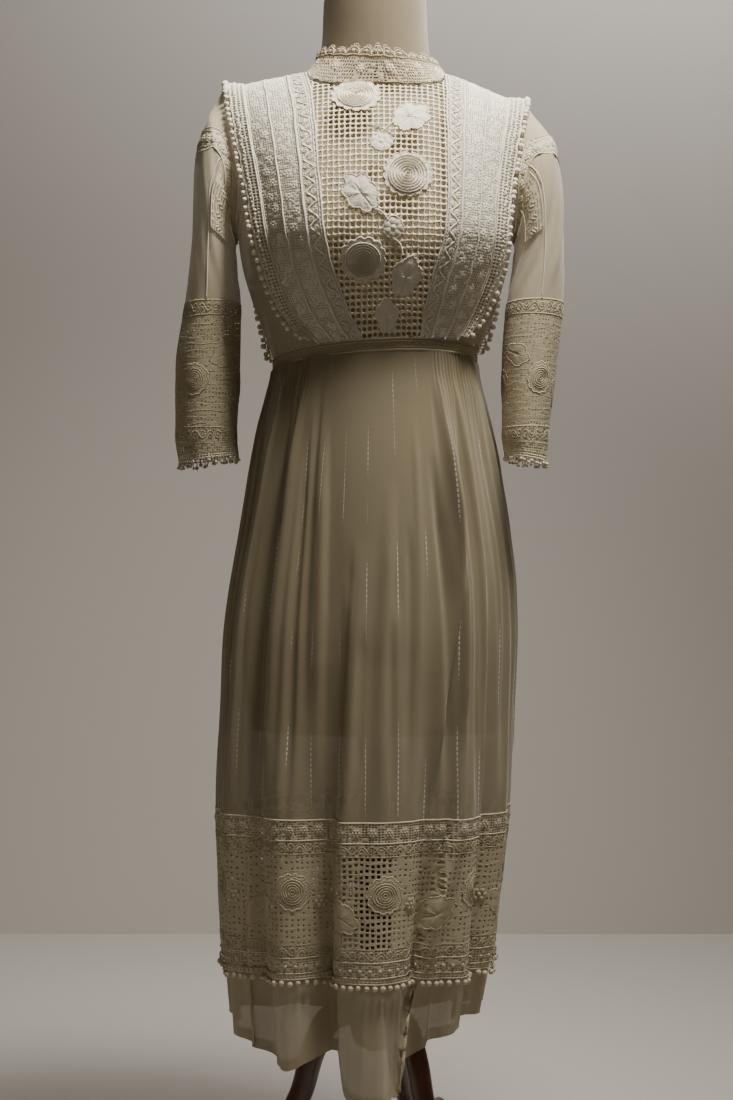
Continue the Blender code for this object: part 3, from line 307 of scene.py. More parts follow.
# Fine creases of the lawn, which the solids leave out: bearing at top and foot, half width in degrees,
# top and foot height, depth
FINE_CREASES = (
    (-27, -25, 2.6, 0.95, 0.55, -0.0022),
    (-36, -38, 3.0, 0.93, 0.45, 0.0020),
    (-41, -43, 2.4, 0.96, 0.62, -0.0024),
    (-52, -54, 3.4, 0.95, 0.47, 0.0024),
    (-57, -59, 2.4, 0.96, 0.70, -0.0020),
    (-67, -70, 3.2, 0.96, 0.50, 0.0022),
    (-72, -74, 2.2, 0.95, 0.66, -0.0018),
    (-84, -86, 3.0, 0.96, 0.46, 0.0022),
    (-9, -11, 3.0, 0.72, 0.44, 0.0018),
    (-4, -6, 2.4, 0.66, 0.44, -0.0016),
    (7, 9, 3.0, 0.70, 0.44, 0.0018),
    (13, 12, 2.4, 0.78, 0.46, -0.0018),
    (18, 16, 2.8, 0.90, 0.52, 0.0016),
    (29, 32, 2.6, 0.95, 0.58, -0.0020),
    (33, 36, 2.8, 0.96, 0.46, 0.0024),
    (42, 48, 3.0, 0.96, 0.50, -0.0022),
    (46, 52, 2.4, 0.95, 0.64, 0.0020),
    (55, 62, 2.8, 0.96, 0.48, -0.0022),
    (67, 75, 3.0, 0.96, 0.56, 0.0020),
    (73, 80, 2.4, 0.95, 0.68, -0.0020),
    (90, 94, 3.0, 0.96, 0.46, -0.0020),
    (106, 109, 3.0, 0.96, 0.52, 0.0022),
    (124, 126, 2.8, 0.96, 0.46, -0.0022),
    (143, 144, 3.0, 0.96, 0.56, 0.0022),
    (162, 163, 2.6, 0.96, 0.48, -0.0022),
    (181, 182, 3.0, 0.96, 0.54, 0.0022),
    (200, 201, 2.8, 0.96, 0.46, -0.0022),
    (217, 219, 3.0, 0.96, 0.58, 0.0022),
    (236, 238, 2.6, 0.96, 0.48, -0.0022),
    (255, 256, 3.0, 0.96, 0.52, 0.0020),
)

# Main creases of the skirt: bearing at three heights, the three heights, half width in degrees, depth,
# lean (near 1 the crease falls away sharply on the viewer's right, near -1 on the left)
MAIN_CREASES = (
    (32, 30, 20, 0.950, 0.700, 0.470, 5.0, 0.0075, 0.72),
    (26, 29, 30, 0.860, 0.680, 0.480, 3.6, -0.0060, -0.10),
    (33, 36, 35, 0.900, 0.700, 0.520, 2.6, 0.0065, 0.10),
    (41, 43, 44, 0.930, 0.720, 0.460, 3.0, -0.0050, 0.00),
    (46, 49, 50, 0.940, 0.740, 0.450, 3.2, 0.0055, -0.30),
    (58, 63, 64, 0.950, 0.760, 0.470, 3.6, -0.0050, 0.10),
    (66, 72, 76, 0.950, 0.700, 0.450, 3.6, 0.0050, 0.40),
    (6, 2, 1, 0.830, 0.640, 0.450, 4.0, 0.0036, 0.20),
    (-24, -21, -22, 0.900, 0.680, 0.450, 4.4, 0.0044, 0.35),
    (-31, -30, -30, 0.900, 0.700, 0.450, 3.0, -0.0044, 0.00),
    (-36, -38, -39, 0.940, 0.700, 0.460, 3.6, 0.0058, -0.50),
    (-45, -48, -50, 0.940, 0.720, 0.450, 3.2, -0.0056, 0.10),
    (-53, -57, -58, 0.950, 0.740, 0.460, 3.4, 0.0058, 0.30),
    (-62, -66, -68, 0.940, 0.700, 0.450, 3.4, -0.0052, -0.20),
    (-72, -76, -78, 0.950, 0.720, 0.470, 3.6, 0.0054, -0.40),
    (-86, -89, -90, 0.940, 0.720, 0.450, 3.6, -0.0050, 0.10),
    (84, 88, 92, 0.950, 0.740, 0.460, 3.8, -0.0054, 0.00),
    (98, 101, 104, 0.950, 0.700, 0.450, 3.6, 0.0056, -0.40),
    (112, 114, 113, 0.940, 0.760, 0.460, 3.4, -0.0056, 0.20),
    (127, 130, 131, 0.950, 0.700, 0.450, 3.8, 0.0060, 0.50),
    (141, 142, 145, 0.950, 0.720, 0.470, 3.4, -0.0058, -0.20),
    (158, 156, 157, 0.940, 0.700, 0.450, 3.8, 0.0058, -0.45),
    (170, 173, 172, 0.950, 0.740, 0.460, 3.4, -0.0060, 0.10),
    (186, 184, 186, 0.950, 0.700, 0.450, 3.8, 0.0060, 0.40),
    (199, 201, 203, 0.940, 0.720, 0.460, 3.4, -0.0056, 0.00),
    (215, 213, 214, 0.950, 0.760, 0.450, 3.8, 0.0058, -0.50),
    (230, 232, 231, 0.950, 0.700, 0.470, 3.4, -0.0056, 0.20),
    (246, 244, 246, 0.940, 0.720, 0.450, 3.8, 0.0056, 0.30),
    (258, 260, 262, 0.950, 0.740, 0.460, 3.4, -0.0052, -0.10),
)

# Deep folds that run on through the band and the flounce: the same columns
BAND_FOLDS = (
    (-3, -6, -15, 0.760, 0.500, 0.120, 5.5, 0.0080, -0.75),
    (-11, -14, -23, 0.760, 0.500, 0.120, 6.5, -0.0070, 0.45),
    (38, 36, 12, 0.560, 0.430, 0.100, 5.0, 0.0085, -0.75),
    (30, 28, 5, 0.560, 0.430, 0.100, 5.5, -0.0060, 0.45),
    (-46, -48, -49, 0.520, 0.360, 0.100, 4.0, 0.0050, -0.60),
    (-66, -67, -68, 0.520, 0.360, 0.100, 5.0, -0.0045, 0.30),
    (54, 55, 53, 0.520, 0.360, 0.100, 5.0, -0.0045, 0.20),
    (74, 76, 78, 0.520, 0.360, 0.100, 5.0, 0.0050, 0.50),
    (112, 113, 115, 0.520, 0.360, 0.100, 5.5, 0.0055, -0.50),
    (139, 141, 140, 0.520, 0.360, 0.100, 5.0, -0.0050, 0.30),
    (171, 170, 172, 0.520, 0.360, 0.100, 6.0, 0.0060, 0.60),
    (203, 205, 204, 0.520, 0.360, 0.100, 5.0, -0.0050, -0.40),
    (236, 234, 236, 0.520, 0.360, 0.100, 5.5, 0.0055, -0.60),
)

# Creases of the flounce: bearing at top and foot, half width in degrees, top and foot height, depth
FLOUNCE_CREASES = (
    (-10, -12, 3.0, 0.27, 0.10, -0.0024),
    (-3, -5, 3.4, 0.27, 0.10, 0.0022),
    (5, 7, 3.0, 0.27, 0.10, -0.0022),
    (12, 13, 3.2, 0.27, 0.10, 0.0024),
    (-25, -27, 3.0, 0.27, 0.10, 0.0022),
    (-38, -40, 3.4, 0.27, 0.10, -0.0024),
    (-53, -50, 3.0, 0.27, 0.10, 0.0024),
    (-70, -68, 3.6, 0.27, 0.10, -0.0022),
    (31, 33, 3.0, 0.27, 0.10, -0.0024),
    (46, 48, 3.2, 0.27, 0.10, 0.0022),
    (63, 61, 3.4, 0.27, 0.10, -0.0024),
    (90, 92, 3.6, 0.27, 0.10, 0.0024),
    (108, 106, 3.2, 0.27, 0.10, -0.0022),
    (126, 128, 3.4, 0.27, 0.10, 0.0024),
    (144, 142, 3.2, 0.27, 0.10, -0.0024),
    (163, 165, 3.6, 0.27, 0.10, 0.0022),
    (182, 180, 3.2, 0.27, 0.10, -0.0024),
    (201, 203, 3.4, 0.27, 0.10, 0.0024),
    (220, 218, 3.2, 0.27, 0.10, -0.0022),
    (240, 242, 3.6, 0.27, 0.10, 0.0024),
    (257, 255, 3.2, 0.27, 0.10, -0.0024),
)

# Gathers along the waist seam: first and last bearing of each gathered stretch
GATHERED_STRETCHES = (
    (-86.25, -33.75),
    (30.0, 78.75),
    (90.0, 262.5),
)
GATHER_COUNT = 144
GATHER_DEPTH = 0.0014
GATHER_FOOT = 0.85
GATHER_RUN_IN = 4.0
GATHER_ROWS = 22
SKIRT_COLUMNS = 960

# Heights over which the creases begin and end, and the share of them that goes on below
CREASE_RUN_IN = 0.09
FOLD_RUN_IN = 0.20
CREASE_RUN_OUT = 0.10
CREASE_REST = 0.25
BAND_EASE = 0.12

# Skirt band and flounce: heights, the bearings where the wide net is clear, and its holes there and elsewhere
BAND_TOP = 0.4430
TOP_STRIP_FOOT = 0.4200
NET_FOOT = 0.2866
BOTTOM_STRIP_FOOT = 0.2690
FLOUNCE_TOP = 0.2960
FLOUNCE_TUCK = 0.0036
SCROLL_DEPTH = 0.0150
FRINGE_TOP = 0.2685
FRINGE_FOOT = 0.2635
FRINGE_CORD = 0.2632
GIRTH_LEVEL = 0.35
BAND_STEPS = 480
CLEAR_NET = (-9.0, 7.0)
CLEAR_HOLE = (0.76, 0.70)
CLOSE_HOLE = (0.46, 0.36)

# Hem: bearing, height
HEM = (
    (-90, 0.200),
    (-70, 0.190),
    (-56, 0.183),
    (-48, 0.171),
    (-40, 0.158),
    (-32, 0.157),
    (-24, 0.168),
    (-18, 0.176),
    (-12, 0.132),
    (-4, 0.123),
    (6, 0.125),
    (13, 0.141),
    (20, 0.168),
    (28, 0.187),
    (40, 0.198),
    (60, 0.207),
    (90, 0.206),
    (130, 0.185),
    (180, 0.166),
    (225, 0.180),
    (270, 0.200),
)

# Dress form: its way round for the ribs, and height, half width, depth in front, depth behind, squareness
FORM_GIRTH = 0.816
FORM_COLUMNS = 96
FORM_RINGS = (
    (0.536, 0.1480, 0.0960, 0.1090, 2.1),
    (0.560, 0.1540, 0.1000, 0.1150, 2.1),
    (0.640, 0.1570, 0.1040, 0.1190, 2.1),
    (0.720, 0.1520, 0.1040, 0.1180, 2.1),
    (0.800, 0.1380, 0.1020, 0.1080, 2.1),
    (0.880, 0.1220, 0.0980, 0.0950, 2.1),
    (0.940, 0.1120, 0.0950, 0.0860, 2.1),
    (0.980, 0.1120, 0.0950, 0.0850, 2.1),
    (1.020, 0.1250, 0.1040, 0.0900, 2.2),
    (1.060, 0.1400, 0.1180, 0.0950, 2.3),
    (1.105, 0.1500, 0.1300, 0.1000, 2.35),
    (1.150, 0.1510, 0.1200, 0.1040, 2.4),
    (1.200, 0.1500, 0.0980, 0.1000, 2.5),
    (1.240, 0.1480, 0.0780, 0.0900, 2.5),
    (1.268, 0.1380, 0.0640, 0.0760, 2.4),
    (1.288, 0.1100, 0.0560, 0.0620, 2.3),
    (1.302, 0.0845, 0.0535, 0.0558, 2.1),
    (1.320, 0.0710, 0.0535, 0.0520, 2.0),
    (1.360, 0.0635, 0.0530, 0.0500, 2.0),
    (1.405, 0.0615, 0.0520, 0.0490, 2.0),
    (1.422, 0.0540, 0.0450, 0.0430, 2.0),
    (1.429, 0.0350, 0.0300, 0.0280, 2.0),
)

# Stand: height and radius down the turned post and the hub
POST_PROFILE = (
    (0.5357, 0.0190),
    (0.5000, 0.0190),
    (0.4950, 0.0176),
    (0.4900, 0.0150),
    (0.4000, 0.0165),
    (0.3000, 0.0200),
    (0.2750, 0.0170),
    (0.2600, 0.0150),
    (0.2503, 0.0150),
)
HUB_PROFILE = (
    (0.2500, 0.0230),
    (0.2460, 0.0275),
    (0.2420, 0.0290),
    (0.2250, 0.0300),
    (0.1750, 0.0300),
    (0.1600, 0.0240),
    (0.1520, 0.0120),
)

# Leg: distance out from the post, height, half width, half height
LEG_PATH = (
    (0.0304, 0.2000, 0.0110, 0.0170),
    (0.0550, 0.1900, 0.0120, 0.0165),
    (0.0760, 0.1500, 0.0130, 0.0150),
    (0.0890, 0.1050, 0.0125, 0.0140),
    (0.1150, 0.0640, 0.0120, 0.0130),
    (0.1600, 0.0360, 0.0110, 0.0110),
    (0.2150, 0.0205, 0.0100, 0.0080),
    (0.2500, 0.0180, 0.0090, 0.0060),
)
LEG_BEARINGS = (190, 310, 70)

# Worked flowers on the yoke: centre x, centre height, radius of the rings, radius with the petals, petals
ROSES = (
    (-0.022, 1.2765, 0.0230, 0.0290, 15),
    (0.0360, 1.174, 0.0240, 0.0280, 16),
    (-0.014, 1.077, 0.0205, 0.0260, 14),
)

# Leaves: centre x, centre height, half length, half width, tilt in degrees, lobes on each side
LEAVES = (
    (0.040, 1.2465, 0.0235, 0.0205, 50, 3),
    (-0.016, 1.151, 0.0250, 0.0190, 125, 3),
    (0.034, 1.058, 0.0235, 0.0165, 76, 2),
    (0.013, 1.016, 0.0200, 0.0130, 95, 2),
)

# Small flowers: centre x, centre height, radius
SMALL_FLOWERS = (
    (0.007, 1.214, 0.0125),
    (0.020, 1.112, 0.0115),
)

# Cords that join the small flowers to the leaves: first x and height, last x and height
STEMS = (
    (-0.012, 1.236, 0.020, 1.222),
    (0.007, 1.226, 0.022, 1.240),
    (0.020, 1.100, 0.030, 1.084),
    (-0.004, 1.134, 0.014, 1.120),
)


def smooth_curve(rows, column):
    """A curve through one column of a table against its first column. It never overshoots a row."""
    keys = np.array([row[0] for row in rows], float)
    values = np.array([row[column] for row in rows], float)
    if keys[0] > keys[-1]:
        keys = keys[::-1]
        values = values[::-1]
    steps = np.diff(values) / np.diff(keys)
    before = steps[:-1]
    after = steps[1:]
    total = np.where(before + after == 0, 1.0, before + after)
    inner = np.where(before * after > 0, 2 * before * after / total, 0.0)
    slopes = np.concatenate(([steps[0]], inner, [steps[-1]]))

    def at(key):
        key = np.clip(key, keys[0], keys[-1])
        i = np.clip(np.searchsorted(keys, key, side="right") - 1, 0, len(keys) - 2)
        width = keys[i + 1] - keys[i]
        t = (key - keys[i]) / width
        start = (1 + 2 * t) * (1 - t) ** 2 * values[i] + t * (1 - t) ** 2 * width * slopes[i]
        end = t * t * (3 - 2 * t) * values[i + 1] + t * t * (t - 1) * width * slopes[i + 1]
        return start + end

    return at


def smooth_curves(rows):
    """A curve through each column of a table but its first."""
    return [smooth_curve(rows, column) for column in range(1, len(rows[0]))]


def mix(a, b, share):
    return a + (b - a) * share


def unit(vectors):
    lengths = np.linalg.norm(vectors, axis=-1, keepdims=True)
    return vectors / np.maximum(lengths, 1e-12)


def stacked(*parts):
    return np.stack(np.broadcast_arrays(*parts), axis=-1)


def turns_of(count):
    """Even turns round a circle, in radians."""
    return 2 * math.pi * np.arange(count) / count


def round_steps(girth, count):
    """Even steps round a closed girth."""
    return np.linspace(0, girth, count, endpoint=False)


def hump(share):
    """1 at share 0, and 0 from -1 and 1 outwards."""
    return np.cos(math.pi / 2 * np.clip(share, -1, 1)) ** 2


def turn_from(bearing, line):
    """Degrees from a line to a bearing, from -180 to 180."""
    return (bearing - line + 180) % 360 - 180


def arc_table(points):
    """Lengths along a row of points, from its start."""
    return np.concatenate(([0.0], np.cumsum(np.linalg.norm(np.diff(points, axis=0), axis=-1))))


side_at = smooth_curve(BODICE_SIDE, 1)
front_at, back_at, squareness_at = smooth_curves(BODICE_DEPTH)
ridge_at = smooth_curve(SHOULDER_RIDGE, 1)
front_seams = smooth_curves(FRONT_SEAMS)
back_seams = smooth_curves(BACK_SEAMS)
skirt_at = smooth_curves(SKIRT_RINGS)
hem_at = smooth_curve(HEM, 1)
cap_lace_top_at, cap_lace_foot_at = smooth_curves(CAP_LACE)
fringe_width_at, fringe_lift_at = smooth_curves(FRINGE_BAND)


def waist_height(x, y):
    return WAIST_MIDDLE + WAIST_SLOPE_ACROSS * x + WAIST_SLOPE_BACK * y


def ring_share(s, squareness):
    return np.maximum(0.0, 1 - np.abs(s) ** squareness) ** (1 / squareness)


def bodice_foot(s, in_front):
    height = np.full(np.shape(s), FOOT_GUESS)
    for _ in range(FOOT_ROUNDS):
        depth = np.where(in_front, front_at(height), -back_at(height))
        y = -depth * ring_share(s, squareness_at(height))
        height = waist_height(s * side_at(height), y) + BAND_HALF_HEIGHT + SEAM_GAP
    return height


def bodice_point(s, tau):
    """A point of the bodice. s runs from -1 at the left side to 1 at the right, and tau from 0 at the front
    waist, over the shoulder at 1, to 2 at the back waist."""
    s, tau = np.broadcast_arrays(np.asarray(s, float), np.asarray(tau, float))
    in_front = tau <= 1
    way_up = np.where(in_front, tau, 2 - tau)
    level = np.where(in_front, BUST_HEIGHT, BLADE_HEIGHT)
    low_z = mix(bodice_foot(s, in_front), level, way_up / LOWER_SHARE)
    turn = np.clip((way_up - LOWER_SHARE) / (1 - LOWER_SHARE), 0, 1) * math.pi / 2
    high_z = mix(level, ridge_at(s), np.sin(turn) ** (2 / ROUNDING))
    reach = np.maximum(np.cos(turn), 0.0) ** (2 / ROUNDING)
    low = way_up <= LOWER_SHARE
    z = np.where(low, low_z, high_z)
    depth_level = np.where(low, z, level)
    depth = np.where(in_front, -front_at(depth_level), back_at(depth_level))
    y_level = depth * ring_share(s, squareness_at(depth_level))
    y = np.where(low, y_level, mix(RIDGE_Y, y_level, reach))
    return stacked(s * side_at(z), y, z)


def tau_at_height(s, height, in_front):
    level = np.where(in_front, BUST_HEIGHT, BLADE_HEIGHT)
    foot = bodice_foot(s, in_front)
    low = LOWER_SHARE * (height - foot) / (level - foot)
    rise = np.clip((height - level) / (ridge_at(s) - level), 0, 1)
    turn = np.arcsin(rise ** (ROUNDING / 2))
    high = LOWER_SHARE + (1 - LOWER_SHARE) * turn / (math.pi / 2)
    way_up = np.where(height <= level, low, high)
    return np.where(in_front, way_up, 2 - way_up)


def seam_x(side, share, tau):
    """The x of a bretelle seam: share 0 is the inner seam and 1 the outer."""
    height = bodice_point(BRETELLE_MIDDLE * side, tau)[..., 2]
    first = 0 if side < 0 else 2
    front = mix(front_seams[first](height), front_seams[first + 1](height), share)
    behind = mix(back_seams[first](height), back_seams[first + 1](height), share)
    return np.where(np.asarray(tau) <= 1, front, behind)


def share_at_x(x, tau):
    s = x / side_at(BUST_HEIGHT)
    for _ in range(SHARE_ROUNDS):
        s = x / side_at(bodice_point(s, tau)[..., 2])
    return s


def bodice_at_x(x, tau):
    return bodice_point(share_at_x(x, tau), tau)


def half_turn_of(turn):
    """A turn in degrees folded into 0 to 180."""
    turn = np.asarray(turn, float) % 360
    return np.where(turn <= 180, turn, 360 - turn)


def armhole_point(side, turn):
    in_front = np.asarray(turn, float) % 360 <= 180
    half_turn = half_turn_of(turn)
    share_at = smooth_curve(ARMHOLE, 1 if side < 0 else 2)
    s = share_at(half_turn)
    shoulder_height = ridge_at(side * share_at(180.0))
    middle = (UNDERARM_HEIGHT + shoulder_height) / 2
    height = middle - (shoulder_height - middle) * np.cos(np.radians(half_turn))
    return s, tau_at_height(side * s, height, in_front)


def sleeve_point(side, station, turn):
    """A point of a sleeve. station 0 is the armhole; turn 0 is underneath, 90 in front and 180 outside."""
    station, turn = np.broadcast_arrays(np.asarray(station, float), np.asarray(turn, float))
    rows = LEFT_SLEEVE if side < 0 else RIGHT_SLEEVE
    key = np.maximum(station, rows[0][0])
    outer_x, outer_z, inner_x, inner_z, centre_y, half_depth = (curve(key) for curve in smooth_curves(rows))
    angle = np.radians(turn)
    x = side * (mix(outer_x, inner_x, 0.5) - (outer_x - inner_x) / 2 * np.cos(angle))
    z = mix(outer_z, inner_z, 0.5) - (outer_z - inner_z) / 2 * np.cos(angle)
    point = stacked(x, centre_y - half_depth * np.sin(angle), z)
    s, tau = armhole_point(side, turn)
    start, out = Chart(bodice_point).at(side * s, tau)
    start = start + out * SLEEVE_LAP
    share = np.clip(station, 0, 1)[..., None]
    return mix(start, point, share)


def cap_lace_station(turn, share):
    """The station of the cap lace at a turn: share 0 is its top edge and 1 its foot."""
    half_turn = half_turn_of(turn)
    return mix(cap_lace_top_at(half_turn), cap_lace_foot_at(half_turn), share)


def ring_point(turn, left, right, front, back, squareness):
    across = np.sin(turn)
    ahead = np.cos(turn)
    half_width = np.where(across > 0, right, left)
    depth = np.where(ahead > 0, front, back)
    x = half_width * np.sign(across) * np.abs(across) ** (2 / squareness)
    y = -depth * np.sign(ahead) * np.abs(ahead) ** (2 / squareness)
    return x, y


def fold_height(row, bearing, height):
    """One of the skirt's folds, as in the solids."""
    top, low, half_width, waist, hip, hem = row
    way_down = np.clip((WAIST_LEVEL - height) / (WAIST_LEVEL - HEM_LEVEL), 0, 1)
    hip_share = (WAIST_LEVEL - HIP_LEVEL) / (WAIST_LEVEL - HEM_LEVEL)
    upper = mix(waist, hip, way_down / hip_share)
    lower = mix(hip, hem, (way_down - hip_share) / (1 - hip_share))
    rise = np.where(way_down < hip_share, upper, lower)
    return rise * hump(turn_from(bearing, mix(top, low, way_down)) / half_width)


def crease_height(rows, bearing, height):
    """Soft creases that fade out at both ends."""
    out = 0.0
    for top, low, half_width, high_end, low_end, depth in rows:
        way_down = np.clip((high_end - height) / (high_end - low_end), 0, 1)
        apart = turn_from(bearing, mix(top, low, way_down))
        fade = np.clip(np.minimum(way_down * 8, (1 - way_down) * 3), 0, 1)
        out = out + depth * hump(apart / half_width) * fade
    return out


def leaning_crease_height(rows, bearing, height, run_in):
    """Creases with a peak that leans to one side. run_in is the height over which they begin."""
    out = 0.0
    for top, mid, low, high_end, middle, low_end, half_width, depth, lean in rows:
        upper = mix(top, mid, np.clip((high_end - height) / (high_end - middle), 0, 1))
        lower = mix(mid, low, np.clip((middle - height) / (middle - low_end), 0, 1))
        line = np.where(height > middle, upper, lower)
        apart = turn_from(bearing, line) / half_width
        reach = np.where(apart > lean, 1 - lean, 1 + lean)
        run_out = np.clip((height - low_end) / CREASE_RUN_OUT + CREASE_REST, CREASE_REST, 1)
        fade = np.clip((high_end - height) / run_in, 0, 1) * run_out
        out = out + depth * hump((apart - lean) / reach) * fade
    return out


def gather_height(bearing, height):
    """Fine gathers under the waist seam, uneven in pitch and in depth."""
    fade = np.clip((height - GATHER_FOOT) / (WAIST_LEVEL - GATHER_FOOT), 0, 1) ** 1.5
    wave = np.cos(np.radians(bearing * GATHER_COUNT + 70 * np.sin(np.radians(bearing * 11))))
    wave = wave * (0.75 + 0.25 * np.sin(np.radians(bearing * 37)))
    inside = 0.0
    for first, last in GATHERED_STRETCHES:
        within = (bearing - first) % 360
        edge = np.minimum(within, (last - first) - within) / GATHER_RUN_IN
        inside = np.maximum(inside, np.clip(edge, 0, 1))
    return GATHER_DEPTH * fade * wave * inside


def skirt_point(bearing, height, creases=True):
    """A point of the skirt. The bearing is 0 in front and 90 at the right, in degrees."""
    bearing, height = np.broadcast_arrays(np.asarray(bearing, float), np.asarray(height, float))
    x, y = ring_point(np.radians(bearing), *(curve(height) for curve in skirt_at), SKIRT_SQUARENESS)
    out = sum(fold_height(row, bearing, height) for row in SKIRT_FOLDS)
    if creases:
        out = out + gather_height(bearing, height) + crease_height(FINE_CREASES, bearing, height)
        above_band = np.clip((height - BAND_TOP + BAND_EASE) / BAND_EASE, 0, 1)
        out = out + leaning_crease_height(MAIN_CREASES, bearing, height, CREASE_RUN_IN) * above_band
        out = out + leaning_crease_height(BAND_FOLDS, bearing, height, FOLD_RUN_IN)
        out = out + crease_height(FLOUNCE_CREASES, bearing, height)
    length = np.hypot(x, y)
    return stacked(x + x / length * out, y + y / length * out, height)


def skirt_top(bearing):
    x, y = ring_point(np.radians(bearing), *WAIST_RING)
    return waist_height(x, y) - BAND_HALF_HEIGHT - SEAM_GAP


class Chart:
    """A surface in its two parameters, with its outward normals."""

    def __init__(self, surface, sign=1.0, step=STEP):
        self.surface = surface
        self.sign = sign
        self.step = step

    def at(self, a, b):
        a, b = np.broadcast_arrays(np.asarray(a, float), np.asarray(b, float))
        across = self.surface(a + self.step, b) - self.surface(a - self.step, b)
        along = self.surface(a, b + self.step) - self.surface(a, b - self.step)
        return self.surface(a, b), unit(np.cross(across, along)) * self.sign

    def lifted(self, a, b, lift):
        points, normals = self.at(a, b)
        return points + normals * np.asarray(lift, float)[..., None]


class Piece:
    """The points and faces of one mesh, gathered from many parts."""

    def __init__(self, name):
        self.name = name
        self.points = []
        self.faces = []
        self.uvs = []
        self.count = 0

    def add(self, points, faces, uvs=None):
        points = np.asarray(points, float).reshape(-1, 3)
        for face in faces:
            face = np.asarray(face, int)
            if len(face):
                self.faces.append(face + self.count)
        self.points.append(points)
        self.uvs.append(np.zeros((len(points), 2)) if uvs is None else np.asarray(uvs).reshape(-1, 2))
        self.count += len(points)

    def grid(self, points, closed=False, uvs=None):
        """A sheet through rows of points. A closed grid's last column joins its first."""
        rows, columns = points.shape[:2]
        numbers = np.arange(rows * columns).reshape(rows, columns)
        following = np.roll(numbers, -1, axis=1)
        spans = slice(None) if closed else slice(0, -1)
        faces = stacked(numbers[:-1, spans], following[:-1, spans], following[1:, spans], numbers[1:, spans])
        self.add(points, [faces.reshape(-1, 4)], uvs)

    def rod(self, points, uvs=None):
        """A closed grid whose first and last rings are filled."""
        self.grid(points, closed=True, uvs=uvs)
        for ring in (points[0], points[-1]):
            numbers = np.arange(len(ring))
            fan = stacked(numbers, np.roll(numbers, -1), len(ring))
            self.add(np.concatenate((ring, ring.mean(axis=0)[None])), [fan])

    def cords(self, points, normals, width, height, sides=4, closed=False):
        """Cords along rows of points: an oval section that lies on the normals."""
        points = np.asarray(points, float)
        normals = np.asarray(normals, float)
        if points.ndim == 2:
            points = points[None]
            normals = normals[None]
        if closed:
            ahead = np.roll(points, -1, axis=1) - np.roll(points, 1, axis=1)
        else:
            ahead = np.gradient(points, axis=1)
        across = unit(np.cross(ahead, normals))
        up = unit(np.cross(across, ahead))
        width = np.broadcast_to(np.asarray(width, float), points.shape[:2])[..., None, None] / 2
        height = np.broadcast_to(np.asarray(height, float), points.shape[:2])[..., None, None] / 2
        turns = turns_of(sides)
        ring = (points[:, :, None] + across[:, :, None] * np.cos(turns)[:, None] * width
                + up[:, :, None] * np.sin(turns)[:, None] * height)
        count, length = points.shape[:2]
        numbers = np.arange(count * length * sides).reshape(count, length, sides)
        beside = np.roll(numbers, -1, axis=2)
        if closed:
            faces = [stacked(numbers, beside, np.roll(beside, -1, axis=1), np.roll(numbers, -1, axis=1))]
        else:
            faces = [stacked(numbers[:, :-1], beside[:, :-1], beside[:, 1:], numbers[:, 1:])]
            faces += [stacked(numbers[:, end, 0], numbers[:, end, k], numbers[:, end, k + 1])
                      for k in range(1, sides - 1) for end in (0, -1)]
        self.add(ring, [face.reshape(-1, face.shape[-1]) for face in faces])

    def domes(self, centres, across, along, normals, radius, height, sides=6):
        """Low domes, each of two rings and a tip: centres with their own across, along and outward ways."""
        centres = np.asarray(centres, float).reshape(-1, 3)
        turns = turns_of(sides)
        flat = across[:, None] * np.cos(turns)[:, None] + along[:, None] * np.sin(turns)[:, None]
        rings = [centres[:, None] + flat * (radius * share) + normals[:, None] * (height * (1 - share ** 2))
                 for share in DOME_RINGS]
        size = len(DOME_RINGS) * sides + 1
        base = np.arange(len(centres)) * size
        faces = []
        for k in range(sides):
            following = (k + 1) % sides
            faces.append(stacked(base + k, base + following, base + sides + following, base + sides + k))
            faces.append(stacked(base + sides + k, base + sides + following, base + size - 1))
        self.add(np.concatenate((*rings, (centres + normals * height)[:, None]), axis=1), faces)

    def balls(self, centres, radius, sides=7):
        """Small balls, each a stack of rings between two poles."""
        turns = turns_of(sides)
        points = [np.array(((0.0, 0.0, 1.0),))]
        for level in range(1, BALL_LEVELS):
            slant = math.pi * level / BALL_LEVELS
            reach = np.sin(slant)
            points.append(stacked(reach * np.cos(turns), reach * np.sin(turns), np.cos(slant)))
        points.append(np.array(((0.0, 0.0, -1.0),)))
        shape = np.concatenate(points)
        size = len(shape)
        radius = np.broadcast_to(np.asarray(radius, float), (len(centres),))
        block = centres[:, None] + shape[None] * radius[:, None, None]
        quads = []
        tips = []
        for k in range(sides):
            following = (k + 1) % sides
            tips.append((0, 1 + k, 1 + following))
            tips.append((size - 1, size - 1 - sides + following, size - 1 - sides + k))
            for level in range(BALL_LEVELS - 2):
                a = 1 + level * sides
                quads.append((a + k, a + sides + k, a + sides + following, a + following))
        base = (np.arange(len(centres)) * size)[:, None, None]
        faces = [np.array(shapes)[None] + base for shapes in (quads, tips)]
        self.add(block, [face.reshape(-1, face.shape[-1]) for face in faces])

